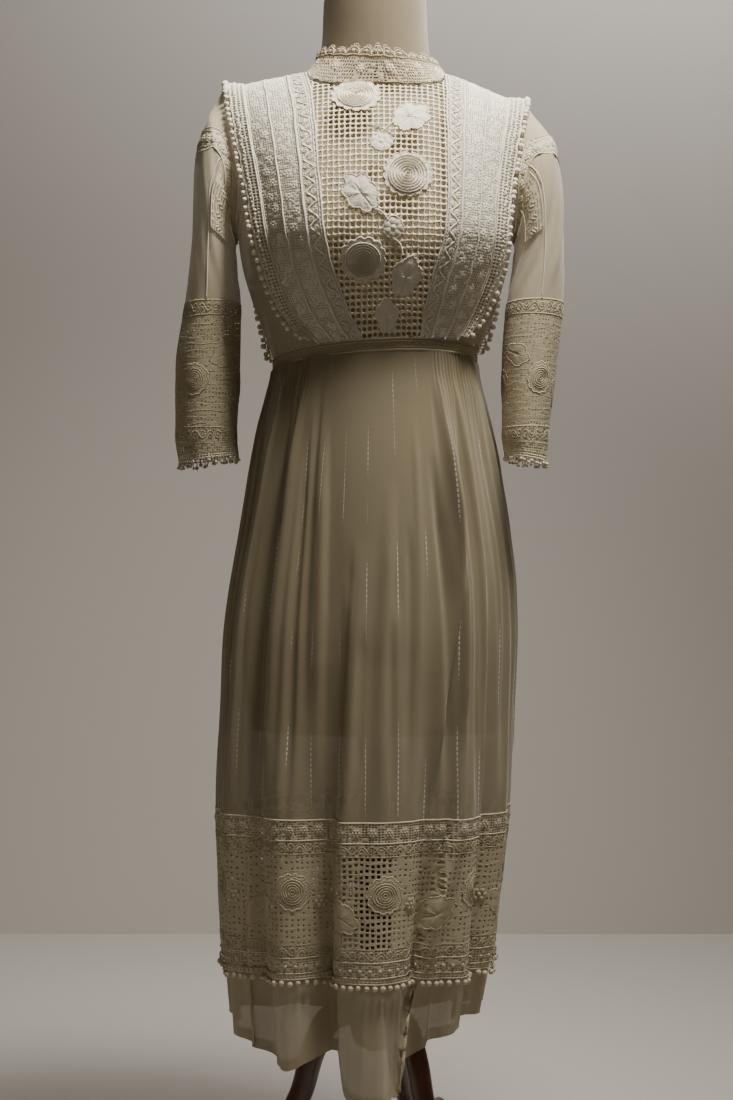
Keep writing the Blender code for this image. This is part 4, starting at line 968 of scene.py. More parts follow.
    def net(self, chart, columns, rows, hole, height, keep=True, filled=False, corners=8, under=True,
            wobble=0.0, waver=0.0):
        """A square-mesh net. columns and rows say where its threads run, hole is the open share of a mesh,
        keep says which meshes are there, and filled which are worked solid. waver bends the rows."""
        meshes = (len(columns) - 1, len(rows) - 1)
        keep = np.broadcast_to(keep, meshes)
        filled = np.broadcast_to(filled, meshes)
        a, b = np.meshgrid(columns, rows, indexing="ij")
        pitch_a = np.abs(np.diff(columns)).mean()
        pitch_b = np.abs(np.diff(rows)).mean()
        a = a + random.normal(0, 1, a.shape) * wobble * pitch_a
        b = b + random.normal(0, 1, b.shape) * wobble * pitch_b
        row_start = ROW_SHIFT * np.arange(len(rows))[None]
        b = b + waver * pitch_b * np.sin(a * 2 * math.pi / ROW_WAVE + row_start)
        hole_a, hole_b = np.broadcast_to(hole, 2)
        places = []
        lifts = []

        def put(at_a, at_b, lift):
            """Puts points down and gives their numbers."""
            start = sum(len(part) for part in lifts)
            places.append(np.stack((at_a, at_b), -1).reshape(-1, 2))
            lifts.append(np.full(at_a.size, lift))
            return start + np.arange(at_a.size).reshape(at_a.shape)

        node = put(a, b, height)
        flat_a = (a[:-1] + a[1:]) / 2
        flat_b = (b[:-1] + b[1:]) / 2
        ring = [node[:-1, :-1], node[1:, :-1], node[1:, 1:], node[:-1, 1:]]
        ways = [(-HOLE_CORNER, -HOLE_CORNER), (HOLE_CORNER, -HOLE_CORNER), (HOLE_CORNER, HOLE_CORNER),
                (-HOLE_CORNER, HOLE_CORNER)]
        if corners == 8:
            flat_mid = put(flat_a, flat_b, height * 0.7)
            side_mid = put((a[:, :-1] + a[:, 1:]) / 2, (b[:, :-1] + b[:, 1:]) / 2, height * 0.7)
            mids = [flat_mid[:, :-1], side_mid[1:], flat_mid[:, 1:], side_mid[:-1]]
            ring = [item for pair in zip(ring, mids) for item in pair]
            ways = [item for pair in zip(ways, [(0, -1), (1, 0), (0, 1), (-1, 0)]) for item in pair]
        centre_a = (flat_a[:, :-1] + flat_a[:, 1:]) / 2
        centre_b = (flat_b[:, :-1] + flat_b[:, 1:]) / 2
        rim = [put(centre_a + hole_a * way_a * pitch_a / 2, centre_b + hole_b * way_b * pitch_b / 2, 0.0)
               for way_a, way_b in ways]
        centre = put(centre_a, centre_b, height)
        places = np.concatenate(places)
        lifts = np.concatenate(lifts)[:, None]
        points, normals = chart.at(places[:, 0], places[:, 1])
        open_cells = keep & ~filled
        solid_cells = keep & filled
        faces = []
        for k in range(len(ring)):
            following = (k + 1) % len(ring)
            faces.append(stacked(ring[k][open_cells], ring[following][open_cells],
                                 rim[following][open_cells], rim[k][open_cells]))
            faces.append(stacked(ring[k][solid_cells], ring[following][solid_cells], centre[solid_cells]))
        points_above = points + normals * lifts
        if not under:
            self.add_used(points_above, faces)
            return
        lower = np.arange(len(points)) + len(points)
        for numbers in rim:
            lower[numbers] = numbers
        faces += [lower[face][:, ::-1] for face in faces]
        self.add_used(np.concatenate((points_above, points - normals * lifts)), faces)

    def add_used(self, points, faces):
        """Adds only the points that a face uses."""
        faces = [face for face in faces if len(face)]
        used = np.unique(np.concatenate([face.reshape(-1) for face in faces]))
        place = np.full(len(points), -1)
        place[used] = np.arange(len(used))
        self.add(points[used], [place[face] for face in faces])

    def build(self, material, replaces=()):
        """Makes the mesh object, which rides on the part's one body."""
        points = np.concatenate(self.points) + AXIS
        sizes = np.concatenate([np.full(len(face), face.shape[1]) for face in self.faces])
        loops = np.concatenate([face.reshape(-1) for face in self.faces])
        mesh = bpy.data.meshes.new(self.name)
        mesh.vertices.add(len(points))
        mesh.vertices.foreach_set("co", points.astype(np.float32).reshape(-1))
        mesh.loops.add(len(loops))
        mesh.loops.foreach_set("vertex_index", loops.astype(np.int32))
        mesh.polygons.add(len(sizes))
        starts = np.concatenate(([0], np.cumsum(sizes)[:-1]))
        mesh.polygons.foreach_set("loop_start", starts.astype(np.int32))
        mesh.update(calc_edges=True)
        mesh.validate()
        layer = mesh.uv_layers.new(name="cloth")
        uvs = np.concatenate(self.uvs)[loops]
        layer.data.foreach_set("uv", uvs.astype(np.float32).reshape(-1))
        mesh.shade_smooth()
        mesh.materials.append(material)
        item = bpy.data.objects.new(self.name, mesh)
        bpy.context.scene.collection.objects.link(item)
        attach(item, "root")
        if replaces:
            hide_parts(*replaces)
        return item


def new_material(name, colour, roughness, sheen=0.0, specular=0.5):
    material = bpy.data.materials.new(name)
    material.use_nodes = True
    shader = material.node_tree.nodes["Principled BSDF"]
    shader.inputs["Base Color"].default_value = (*colour, 1.0)
    for socket, value in (("Roughness", roughness), ("Sheen Weight", sheen),
                          ("Specular IOR Level", specular)):
        shader.inputs[socket].default_value = value
    return material, material.node_tree, shader


def add_node(tree, kind, **values):
    node = tree.nodes.new(kind)
    for key, value in values.items():
        if key in node.inputs:
            node.inputs[key].default_value = value
        else:
            setattr(node, key, value)
    return node


def add_noise(tree, place, scale, detail, distortion=0.0):
    """Uneven patches from 0 to 1 over a place."""
    noise = add_node(tree, "ShaderNodeTexNoise", Scale=scale, Detail=detail, Distortion=distortion)
    tree.links.new(place, noise.inputs["Vector"])
    return noise.outputs["Fac"]


def add_stretch(tree, place, scale):
    stretch = add_node(tree, "ShaderNodeMapping", Scale=scale)
    tree.links.new(place, stretch.inputs["Vector"])
    return stretch.outputs["Vector"]


def add_range(tree, value, first, last):
    """0 where the value is first, rising to 1 where it is last."""
    node = add_node(tree, "ShaderNodeMapRange", **{"From Min": first, "From Max": last})
    tree.links.new(value, node.inputs["Value"])
    return node.outputs["Result"]


def add_math(tree, operation, first, second=None):
    node = tree.nodes.new("ShaderNodeMath")
    node.operation = operation
    for place, value in enumerate((first, second)):
        if value is None:
            continue
        if isinstance(value, (int, float)):
            node.inputs[place].default_value = value
        else:
            tree.links.new(value, node.inputs[place])
    return node.outputs[0]


def add_colour_mix(tree, share, first, second):
    node = tree.nodes.new("ShaderNodeMix")
    node.data_type = "RGBA"
    for socket, value in ((node.inputs[0], share), (node.inputs[6], first), (node.inputs[7], second)):
        if isinstance(value, (int, float)):
            socket.default_value = value
        elif isinstance(value, tuple):
            socket.default_value = (*value, 1.0)
        else:
            tree.links.new(value, socket)
    return node.outputs[2]


def add_bump(tree, shader, height, strength, distance):
    bump = add_node(tree, "ShaderNodeBump", Strength=strength, Distance=distance)
    tree.links.new(height, bump.inputs["Height"])
    tree.links.new(bump.outputs["Normal"], shader.inputs["Normal"])


def thread_material(name, colour, shade, fine, sheen):
    """Crochet or lace thread: uneven twisted yarn, a little darker in patches."""
    material, tree, shader = new_material(name, colour, 0.92, sheen, 0.25)
    place = add_node(tree, "ShaderNodeTexCoord").outputs["Object"]
    mottled = add_colour_mix(tree, add_noise(tree, place, 14.0, 3.0), shade, colour)
    twist = add_noise(tree, place, fine, 2.0)
    stitched = add_math(tree, "MULTIPLY", add_math(tree, "POWER", twist, 2.0), 0.55)
    dark = tuple(0.72 * c for c in shade)
    tree.links.new(add_colour_mix(tree, stitched, mottled, dark), shader.inputs["Base Color"])
    add_bump(tree, shader, twist, 0.7, 0.0006)
    return material


def add_stripes(tree, place, pitch):
    """Where the dashed stripes of a cloth show: thin lines along it, broken into dashes and worn in parts."""
    parts = add_node(tree, "ShaderNodeSeparateXYZ")
    tree.links.new(place, parts.inputs[0])
    across = add_math(tree, "FRACT", add_math(tree, "DIVIDE", parts.outputs["X"], pitch))
    away = add_math(tree, "ABSOLUTE", add_math(tree, "SUBTRACT", across, 0.5))
    near = add_math(tree, "LESS_THAN", away, STRIPE_HALF_SHARE)
    dash = add_math(tree, "FRACT", add_math(tree, "DIVIDE", parts.outputs["Y"], DASH_PITCH))
    dashed = add_math(tree, "LESS_THAN", dash, DASH_SHARE)
    worn = add_noise(tree, add_stretch(tree, place, (28.0, 9.0, 1.0)), 1.0, 1.0)
    seen = add_math(tree, "MULTIPLY", add_math(tree, "SUBTRACT", worn, 0.50), 9.0)
    seen = add_math(tree, "MINIMUM", add_math(tree, "MAXIMUM", seen, 0.0), 1.0)
    return add_math(tree, "MULTIPLY", add_math(tree, "MULTIPLY", near, dashed), seen)


def lawn_material(name, colour, alpha, stripes=None):
    """Sheer lawn: fine slubs along the cloth, and light dashed stripes where the cloth has them."""
    material, tree, shader = new_material(name, colour, 0.85, 0.25, 0.2)
    place = add_node(tree, "ShaderNodeUVMap", uv_map="cloth").outputs["UV"]
    slub = add_noise(tree, add_stretch(tree, place, (900.0, 60.0, 1.0)), 1.0, 3.0)
    patches = add_noise(tree, add_node(tree, "ShaderNodeTexCoord").outputs["Object"], 7.0, 3.0)
    warm = (colour[0] * 0.93, colour[1] * 0.89, colour[2] * 0.80)
    base = add_colour_mix(tree, patches, warm, colour)
    fine = add_math(tree, "MULTIPLY", slub, 0.30)
    base = add_colour_mix(tree, fine, base, tuple(0.8 * c for c in colour))
    see_through = add_math(tree, "ADD", add_math(tree, "MULTIPLY", slub, 0.10), alpha - 0.05)
    if stripes:
        mark = add_stripes(tree, place, stripes)
        base = add_colour_mix(tree, mark, base, (0.93, 0.89, 0.80))
        see_through = add_math(tree, "ADD", see_through, add_math(tree, "MULTIPLY", mark, 0.35))
    tree.links.new(base, shader.inputs["Base Color"])
    tree.links.new(add_math(tree, "MINIMUM", see_through, 1.0), shader.inputs["Alpha"])
    add_bump(tree, shader, slub, 0.25, 0.0004)
    return material


def jersey_material():
    """Ribbed knit, lightest between the waist and the shoulders, browner and darker below and on the neck:
    painted shade, for the shade under the skirt and on the upright neck. Its ribs are painted darker in their
    grooves: painted shade too.
    """
    material, tree, shader = new_material("jersey", (0.54, 0.45, 0.31), 0.95, 0.3)
    place = add_node(tree, "ShaderNodeUVMap", uv_map="cloth").outputs["UV"]
    parts = add_node(tree, "ShaderNodeSeparateXYZ")
    tree.links.new(place, parts.inputs[0])
    ribs = add_math(tree, "SINE", add_math(tree, "MULTIPLY", parts.outputs["X"], 2 * math.pi / RIB_PITCH))
    ribs = add_math(tree, "MULTIPLY", add_math(tree, "ADD", ribs, 1.0), 0.5)
    fuzz = add_noise(tree, add_stretch(tree, place, (500.0, 160.0, 1.0)), 1.0, 2.0)
    # Painted light by height: the lit colour between the waist and the shoulders, painted shade below the
    # waist and on the neck.
    low = add_range(tree, parts.outputs["Y"], 0.85, 1.04)
    high = add_range(tree, parts.outputs["Y"], 1.31, 1.27)
    painted_lit_band = add_math(tree, "MULTIPLY", low, high)
    # The rib wave also drives the bump, so each colour pair paints the grooves between the ribs darker:
    # painted shade.
    dark = add_colour_mix(tree, ribs, (0.18, 0.140, 0.090), (0.26, 0.210, 0.135))
    light = add_colour_mix(tree, ribs, (0.50, 0.405, 0.265), (0.62, 0.52, 0.36))
    base = add_colour_mix(tree, painted_lit_band, dark, light)
    base = add_colour_mix(tree, add_math(tree, "MULTIPLY", fuzz, 0.30), base, (0.30, 0.235, 0.15))
    tree.links.new(base, shader.inputs["Base Color"])
    add_bump(tree, shader, ribs, 0.5, 0.0005)
    return material


def wood_material():
    """Dark polished wood with an upright grain."""
    material, tree, shader = new_material("mahogany", (0.06, 0.018, 0.010), 0.32)
    shader.inputs["Coat Weight"].default_value = 0.35
    shader.inputs["Coat Roughness"].default_value = 0.15
    place = add_node(tree, "ShaderNodeTexCoord").outputs["Object"]
    grain = add_noise(tree, add_stretch(tree, place, (60.0, 60.0, 5.0)), 1.5, 6.0, 1.2)
    base = add_colour_mix(tree, grain, (0.025, 0.008, 0.005), (0.13, 0.042, 0.020))
    tree.links.new(base, shader.inputs["Base Color"])
    add_bump(tree, shader, grain, 0.12, 0.0004)
    return material


lawn = lawn_material("lawn", (0.62, 0.55, 0.41), 0.72)
# The flounce and the skirt take darker copies of the bodice lawn: painted shade, for the dim light low on the
# dress.
flounce_shaded_lawn = lawn_material("lawn_flounce_painted_shade", (0.47, 0.41, 0.30), 0.93)
striped_shaded_lawn = lawn_material("lawn_striped_painted_shade", (0.37, 0.320, 0.220), 0.82, STRIPE_PITCH)
lace = thread_material("lace", (0.93, 0.87, 0.74), (0.85, 0.78, 0.65), 1100.0, 0.2)
net_thread = thread_material("net_thread", (0.91, 0.82, 0.62), (0.84, 0.75, 0.57), 1000.0, 0.15)
# Darker copies of the net thread and the lace for the lower sleeves, the sleeve laces, the waistband and the
# skirt band: painted shade, for the dim light there.
shaded_net = thread_material("net_thread_painted_shade", (0.58, 0.51, 0.36), (0.50, 0.43, 0.29), 1000.0, 0.1)
shaded_lace = thread_material("lace_painted_shade", (0.62, 0.55, 0.41), (0.54, 0.47, 0.33), 1100.0, 0.1)
collar_thread = thread_material("lace_collar", (0.68, 0.60, 0.45), (0.58, 0.49, 0.34), 1100.0, 0.1)
sleeve_lace = thread_material("lace_sleeve", (0.76, 0.69, 0.54), (0.67, 0.59, 0.44), 1100.0, 0.1)
tape = thread_material("seam_tape", (0.90, 0.86, 0.78), (0.84, 0.78, 0.67), 1500.0, 0.2)
jersey = jersey_material()
mahogany = wood_material()


def centred_steps(length, pitch):
    """Even steps over a length, as near to the pitch as fits."""
    return np.linspace(0.0, length, max(1, int(round(length / pitch))) + 1)


def mesh_middles(columns, rows):
    """The middles of a net's meshes, across and along."""
    return ((columns[:-1] + columns[1:]) / 2)[:, None], ((rows[:-1] + rows[1:]) / 2)[None]


def strip_chart(side, inner, outer, width):
    """A bretelle strip laid flat: a across it from its middle, b along it from the front waist."""
    dense = np.linspace(0.0, 2.0, 240)
    middle = bodice_at_x(seam_x(side, (inner + outer) / 2, dense), dense)
    lengths = arc_table(middle)

    def surface(a, b):
        tau = np.interp(b, lengths, dense)
        share = mix(inner, outer, 0.5 + a / width)
        return bodice_at_x(seam_x(side, share, tau), tau)

    return Chart(surface, sign=float(side)), lengths[-1]


def motif_chart(x, height):
    """The bodice's front about a point: a across and b up, in metres."""
    s = x / side_at(height)
    tau = float(tau_at_height(np.array(s), height, True))
    span = 0.004
    ends = bodice_point(np.array((s, s)), np.array((tau + span, tau - span)))
    length = np.linalg.norm(ends[0] - ends[1]) / (2 * span)

    def surface(a, b):
        return bodice_point(s + a / side_at(height), tau + b / length)

    return Chart(surface)


def ways_at(chart, a, b):
    """Points with their own across, along and outward ways."""
    points, normals = chart.at(a, b)
    step = 0.0005
    across = unit(chart.surface(np.asarray(a) + step, b) - chart.surface(np.asarray(a) - step, b))
    along = np.cross(normals, across)
    return points, across, along, normals


def circle(radius, count):
    turns = turns_of(count)
    return radius * np.cos(turns), radius * np.sin(turns)


def add_cord(piece, chart, a, b, width, height, lift=CORD_LIFT, sides=4, closed=False):
    """A tape or cord along a row of places."""
    points, normals = chart.at(a, b)
    piece.cords(points + normals * lift, normals, width, height, sides, closed)


def add_dots(piece, chart, a, b, radius, height, lift=DOT_LIFT, sides=6):
    """Low domes at arrays of places."""
    points, across, along, normals = ways_at(chart, a, b)
    piece.domes(points + normals * lift, across, along, normals, radius, height, sides)


def add_flower(piece, chart, a, b, radius, lift, petals=6):
    """Small worked flowers: a ring of petals round a raised middle, at arrays of places."""
    a = np.atleast_1d(a)
    b = np.atleast_1d(b)
    ring_a, ring_b = circle(0.62 * radius, petals)
    petal_a = (a[:, None] + ring_a).reshape(-1)
    petal_b = (b[:, None] + ring_b).reshape(-1)
    add_dots(piece, chart, petal_a, petal_b, 0.40 * radius, 0.0010, lift)
    add_dots(piece, chart, a, b, 0.34 * radius, 0.0017, lift)


# Dress form and stand
def make_form():
    piece = Piece("dress_form_jersey")
    heights = np.concatenate((np.linspace(0.536, 1.40, 84), np.linspace(1.404, 1.429, 9)))
    rings = [curve(heights)[:, None] for curve in smooth_curves(FORM_RINGS)]
    turn = np.linspace(math.pi, 3 * math.pi, FORM_COLUMNS, endpoint=False)[None]
    x, y = ring_point(turn, rings[0], *rings)
    around = round_steps(FORM_GIRTH, FORM_COLUMNS)[None]
    piece.rod(stacked(x, y, heights[:, None]), uvs=stacked(around, heights[:, None]))
    piece.build(jersey, ("dress_form",))


def turned_piece(name, profile, node):
    piece = Piece(name)
    distances = arc_table(np.array(profile))
    fine = np.unique(np.concatenate((distances, np.linspace(0, distances[-1], 60))))
    heights = np.interp(fine, distances, [row[0] for row in profile])
    radii = np.interp(fine, distances, [row[1] for row in profile])
    turn = round_steps(2 * math.pi, 48)
    piece.rod(stacked(radii[:, None] * np.cos(turn), radii[:, None] * np.sin(turn), heights[:, None]))
    piece.build(mahogany, (node,))


def make_leg(number, bearing):
    piece = Piece(f"stand_leg_{number}_wood")
    lengths = arc_table(np.array(LEG_PATH)[:, :2])
    table = [(length, *row) for length, row in zip(lengths, LEG_PATH)]
    fine = np.linspace(0, lengths[-1], 48)
    out, height, half_width, half_height = (curve(fine) for curve in smooth_curves(table))
    way = np.array((math.cos(math.radians(bearing)), math.sin(math.radians(bearing)), 0.0))
    side = np.array((-way[1], way[0], 0.0))
    path = out[:, None] * way + stacked(0.0, 0.0, height)
    ahead = unit(np.gradient(path, axis=0))
    ahead[0] = way
    ahead[-1] = way
    rise = np.cross(ahead, side)
    turn = round_steps(2 * math.pi, 20)[None, :, None]
    piece.rod(path[:, None] + side * np.cos(turn) * half_width[:, None, None]
              + rise[:, None] * np.sin(turn) * half_height[:, None, None])
    piece.build(mahogany, (f"stand_leg_{number}",))


# Bodice
def neck_tau_at(x, start, squareness):
    """Where the bodice reaches the neckline. start lies outside it: 0.5 in front and 1.5 behind."""
    outside = np.full(np.shape(x), start)
    inside = np.full(np.shape(x), 1.0)
    for _ in range(24):
        middle = (outside + inside) / 2
        y = bodice_at_x(x, middle)[..., 1]
        across = np.abs(x - NECK_CENTRE_X) / NECK_HALF_WIDTH
        depth = np.where(y < 0, NECK_FRONT, NECK_BACK)
        within = across ** squareness + np.abs(y / depth) ** squareness < 1
        inside = np.where(within, middle, inside)
        outside = np.where(within, outside, middle)
    return outside


def make_yoke():
    dense = np.linspace(0.0, 0.999, 200)
    lengths = arc_table(bodice_at_x(np.full(200, 0.01), dense))
    reach = np.linspace(-0.09, 0.10, 80)
    top_tau = neck_tau_at(reach, 0.5, NECK_FRONT_SQUARENESS)

    def surface(a, b):
        tau = np.minimum(np.interp(b, lengths, dense), np.interp(a, reach, top_tau))
        tau = np.maximum(tau, 0.0)
        x = np.clip(a, seam_x(-1, 0.0, tau), seam_x(1, 0.0, tau))
        return bodice_at_x(x, tau)

    columns = np.arange(-0.080, 0.093, NET_PITCH_ACROSS)
    rows = centred_steps(lengths[-1], NET_PITCH_ALONG)
    mid_a, mid_b = mesh_middles(columns, rows)
    tau = np.interp(mid_b, lengths, dense) + 0 * mid_a
    inside = (mid_a > seam_x(-1, 0.0, tau) - 0.002) & (mid_a < seam_x(1, 0.0, tau) + 0.002)
    inside &= tau < np.interp(mid_a[:, 0], reach, top_tau)[:, None] + 0.01
    piece = Piece("yoke_net")
    piece.net(Chart(surface), columns, rows, NET_HOLE, NET_THREAD, keep=inside, wobble=0.05, waver=0.10)
    piece.build(net_thread, ("front_yoke_net",))


def add_rose(piece, chart, a, b, rings_radius, radius, petals=14, count=7, fine=1.0, relief=1.0):
    """A worked rose: well separated rings in the middle and a frilled edge of looped petals."""
    turns = np.linspace(0, 2 * math.pi, int(96 * fine), endpoint=False)
    start = random.uniform(0, 6)
    frill = np.abs(np.cos(petals / 2 * (turns + start)))
    edge = radius * (0.84 + 0.16 * frill ** 0.6 + 0.025 * np.sin(3 * turns + start))
    levels = np.linspace(0, 1, 9)[:, None]
    lift = relief * (0.0010 + 0.0012 * (1 - levels ** 2) + 0.0007 * (levels > 0.8) * frill)
    piece.grid(chart.lifted(a + levels * edge * np.cos(turns), b + levels * edge * np.sin(turns), lift),
               closed=True)
    pitch = rings_radius / (count + 0.3)
    squash = 1 + random.uniform(-0.04, 0.04)
    for k in range(count):
        ring_a, ring_b = circle(pitch * (k + 0.8), int(44 * fine))
        shift = pitch * 0.12 * np.sin(k * 2.1 + start)
        rise = relief * (0.0022 + 0.0012 * (1 - (k / count) ** 2))
        add_cord(piece, chart, a + ring_a * squash + shift, b + ring_b / squash,
                 pitch * 0.46, 0.0026 * relief, rise, closed=True)
    for share, width in ((1.0, 0.0016), (0.80, 0.0011)):
        add_cord(piece, chart, a + share * edge * np.cos(turns), b + share * edge * np.sin(turns),
                 width, 0.0015 * relief, 0.0017 * relief, closed=True)
    spokes = round_steps(2 * math.pi, petals * 3)[:, None] - start + math.pi / petals
    run = np.linspace(rings_radius * 1.03, radius * 0.92, 4)[None]
    add_cord(piece, chart, a + run * np.cos(spokes), b + run * np.sin(spokes), 0.0010, 0.0011 * relief,
             0.0016 * relief)


def leaf_edge(turns, half_length, half_width, lobes):
    """The outline of a lobed leaf with a pointed tip at turn 0, as distances along and across."""
    along = np.cos(turns)
    across = np.sin(turns)
    big = 0.80 + 0.20 * np.abs(np.cos((lobes + 0.5) * turns)) ** 0.7
    small = 1 + 0.035 * np.cos(26 * turns)
    tip = 1 + 0.10 * np.exp(-(turns / 0.22) ** 2) + 0.10 * np.exp(-((turns - 2 * math.pi) / 0.22) ** 2)
    return half_length * along * big * small * tip, half_width * across * big * small * (1 + 0.12 * along)


def add_worked_leaf(piece, chart, a, b, half_length, half_width, tilt, lobes, fine=1.0, relief=1.0):
    """A leaf of close stitches with an open slit, stitched ribs and a corded edge."""
    turns = np.linspace(0, 2 * math.pi, int(110 * fine), endpoint=False)[None]
    levels = np.linspace(0, 1, int(16 * fine))[:, None]
    edge_along, edge_across = leaf_edge(turns, half_length, half_width, lobes)
    along = levels * edge_along
    across = levels * edge_across
    slant = math.radians(tilt)
    slit_run = np.clip(1.4 - 2 * np.abs(along + 0.1 * half_length) / half_length, 0, 1)
    slit = np.exp(-(across / 0.0010) ** 2) * slit_run
    ribs = 0.00035 * np.sin(along * 2 * math.pi / 0.0022) * (levels < 0.92)
    hollow = np.cos(lobes * turns) ** 2
    lift = 0.0012 + 0.0018 * (1 - levels ** 3) * (0.55 + 0.45 * hollow) - 0.0024 * slit + ribs
    place_a = a + along * math.cos(slant) - across * math.sin(slant)
    place_b = b + along * math.sin(slant) + across * math.cos(slant)
    piece.grid(chart.lifted(place_a, place_b, lift * relief), closed=True)
    add_cord(piece, chart, place_a[-1], place_b[-1], 0.0014, 0.0016 * relief, 0.0015 * relief, closed=True)


def make_motifs():
    roses = Piece("yoke_roses")
    for x, height, *sizes in ROSES:
        add_rose(roses, motif_chart(x, height), 0.0, 0.0, *sizes)
    roses.build(lace, ("rose_upper", "rose_middle", "rose_lower"))
    leaves = Piece("yoke_leaves")
    for x, height, *sizes in LEAVES:
        add_worked_leaf(leaves, motif_chart(x, height), 0.0, 0.0, *sizes)
    leaves.build(lace, ("leaf_upper", "leaf_left", "leaf_right", "leaf_foot"))
    flowers = Piece("yoke_small_flowers")
    for x, height, radius in SMALL_FLOWERS:
        chart = motif_chart(x, height)
        add_flower(flowers, chart, 0.0, 0.0, radius, 0.0012, petals=7)
        a, b = circle(radius * 0.98, 36)
        a = a * (1 + 0.06 * np.sin(np.arange(36) * 1.9))
        add_cord(flowers, chart, a, b, 0.0013, 0.0012, 0.0012, closed=True)

    def yoke_surface(x, height):
        s = x / side_at(height)
        return bodice_point(s, tau_at_height(s, height, True))

    yoke = Chart(yoke_surface)
    for first_x, first_height, last_x, last_height in STEMS:
        run = np.linspace(0, 1, 24)
        bow = 0.0022 * np.sin(math.pi * run)
        points, normals = yoke.at(mix(first_x, last_x, run) + bow, mix(first_height, last_height, run) + bow)
        outward = normals * np.sign(-normals[:, 1])[:, None]
        flowers.cords(points + outward * 0.0016, outward, 0.0018, 0.0018)
    flowers.build(lace, ("flower_upper", "flower_lower"))


def lace_ground(piece, chart, columns, rows, flowers=(), radius=0.0050, speckle=0.20):
    """Close machine lace: small holes of uneven size, with denser flowers and specks worked in it."""
    mid_a, mid_b = mesh_middles(columns, rows)
    filled = random.random((len(columns) - 1, len(rows) - 1)) < speckle
    for a, b, turn in flowers:
        near = np.abs(mid_b[0] - b) < radius * 1.2
        away_b = mid_b[:, near] - b
        away = np.hypot(mid_a - a, away_b)
        angle = np.arctan2(away_b, mid_a - a) + turn
        petals = (away < radius * (0.62 + 0.38 * np.abs(np.cos(2.5 * angle)))) & (away > radius * 0.24)
        ring = (away > radius * 1.02) & (away < radius * 1.28)
        filled[:, near] = (filled[:, near] & (away > radius * 1.28)) | petals
        filled[:, near] &= ~ring
    piece.net(chart, columns, rows, LACE_HOLE, LACE_THREAD, filled=filled, corners=4, under=False,
              wobble=0.11)


def strip_flowers(length, width, pitch, phase):
    """Places for the flowers of a strip: uneven steps, first on one side and then on the other."""
    rows = []
    b = pitch * phase
    side = 1
    while b < length:
        rows.append((side * width * random.uniform(0.08, 0.20), b, random.uniform(0, 6)))
        b += pitch * random.uniform(0.86, 1.14)
        side = -side
    return rows


def make_scroll_strip(side, word):
    """The inner strip: a waving vine with small rings in its bends, on close ground."""
    width = 0.0240
    chart, length = strip_chart(side, 0.0, MIDDLE_SEAMS[0], width)
    piece = Piece(f"scroll_strip_{word}_lace")
    columns = np.linspace(-0.5, 0.5, 9) * width
    lace_ground(piece, chart, columns, centred_steps(length, LACE_PITCH), speckle=0.16)
    bend = 0.0215
    b = np.linspace(0, length, int(length / 0.0016))
    a = 0.0056 * np.sin(2 * math.pi * b / bend + 0.5 * np.sin(b * 37)) + 0.0004 * np.sin(b * 900)
    add_cord(piece, chart, a, b, 0.0024 + 0.0005 * np.sin(b * 700), 0.0013)
    middles = np.arange(bend / 4, length, bend / 2)
    sign = np.where(np.arange(len(middles)) % 2 == 0, -1.0, 1.0)
    ring_a, ring_b = circle(0.0031, 8)
    for size, thick in ((1.0, 0.0013), (0.35, 0.0016)):
        add_cord(piece, chart, 0.0034 * sign[:, None] + ring_a * size, middles[:, None] + ring_b * size,
                 thick, 0.0011, closed=True)
    picots = np.arange(0.001, length, 0.0034)
    for edge in (-0.36, 0.36):
        jitter = random.uniform(-0.0004, 0.0004, len(picots))
        add_dots(piece, chart, edge * width + jitter, picots, 0.0011, 0.0008)
    piece.build(lace, (f"scroll_strip_{word}",))


def make_lace_strip(side, word, name, inner, outer, width, phase):
    """A lace strip: speckled ground with small uneven flowers and a dotted edge at both sides."""
    chart, length = strip_chart(side, inner, outer, width)
    piece = Piece(f"{name}_{word}_lace")
    columns = np.linspace(-0.5, 0.5, int(round(width / LACE_PITCH)) + 1) * width
    flowers = strip_flowers(length, width, 0.0170, phase)
    lace_ground(piece, chart, columns, centred_steps(length, LACE_PITCH), flowers, radius=0.0062,
                speckle=0.24)
    a, b, first_turn = np.array(flowers).T
    add_dots(piece, chart, a, b, 0.0015, 0.0010, 0.0004, sides=7)
    for k in range(5):
        turn = first_turn + 2 * math.pi * k / 5
        add_dots(piece, chart, a + 0.0037 * np.cos(turn), b + 0.0037 * np.sin(turn), 0.0016, 0.0007, sides=7)
    dots = np.arange(0.002, length, 0.0043)
    for edge in (-0.40, 0.40):
        jitter = random.uniform(-0.0005, 0.0005, (2, len(dots)))
        add_dots(piece, chart, edge * width + jitter[0], dots + jitter[1], 0.0012, 0.0008)
    piece.build(lace, (f"{name}_{word}",))


def make_seam_tapes(side, word):
    """Tapes over the seams between the strips, and a ladder of threads along the inner seam."""
    piece = Piece(f"bretelle_tapes_{word}")
    tau = np.linspace(0.0, 2.0, 210)
    chart = Chart(bodice_at_x)
    for share, width in ((0.0, 0.0026), (LADDER_SHARE, 0.0018), (MIDDLE_SEAMS[0], 0.0040),
                         (MIDDLE_SEAMS[1], 0.0030), (1.0, 0.0034)):
        waver = 0.00035 * np.sin(tau * 41 + share * 9) + 0.00025 * np.sin(tau * 97 + share * 5)
        thick = width * (1 + 0.12 * np.sin(tau * 63 + share * 7))
        add_cord(piece, chart, seam_x(side, share, tau) + waver, tau, thick, 0.0013)
    rungs = np.linspace(0.01, 1.99, 150)[:, None]
    ends = seam_x(side, np.array((0.0, LADDER_SHARE))[None], rungs)
    add_cord(piece, chart, ends, rungs, 0.0011, 0.0011)
    piece.build(tape)


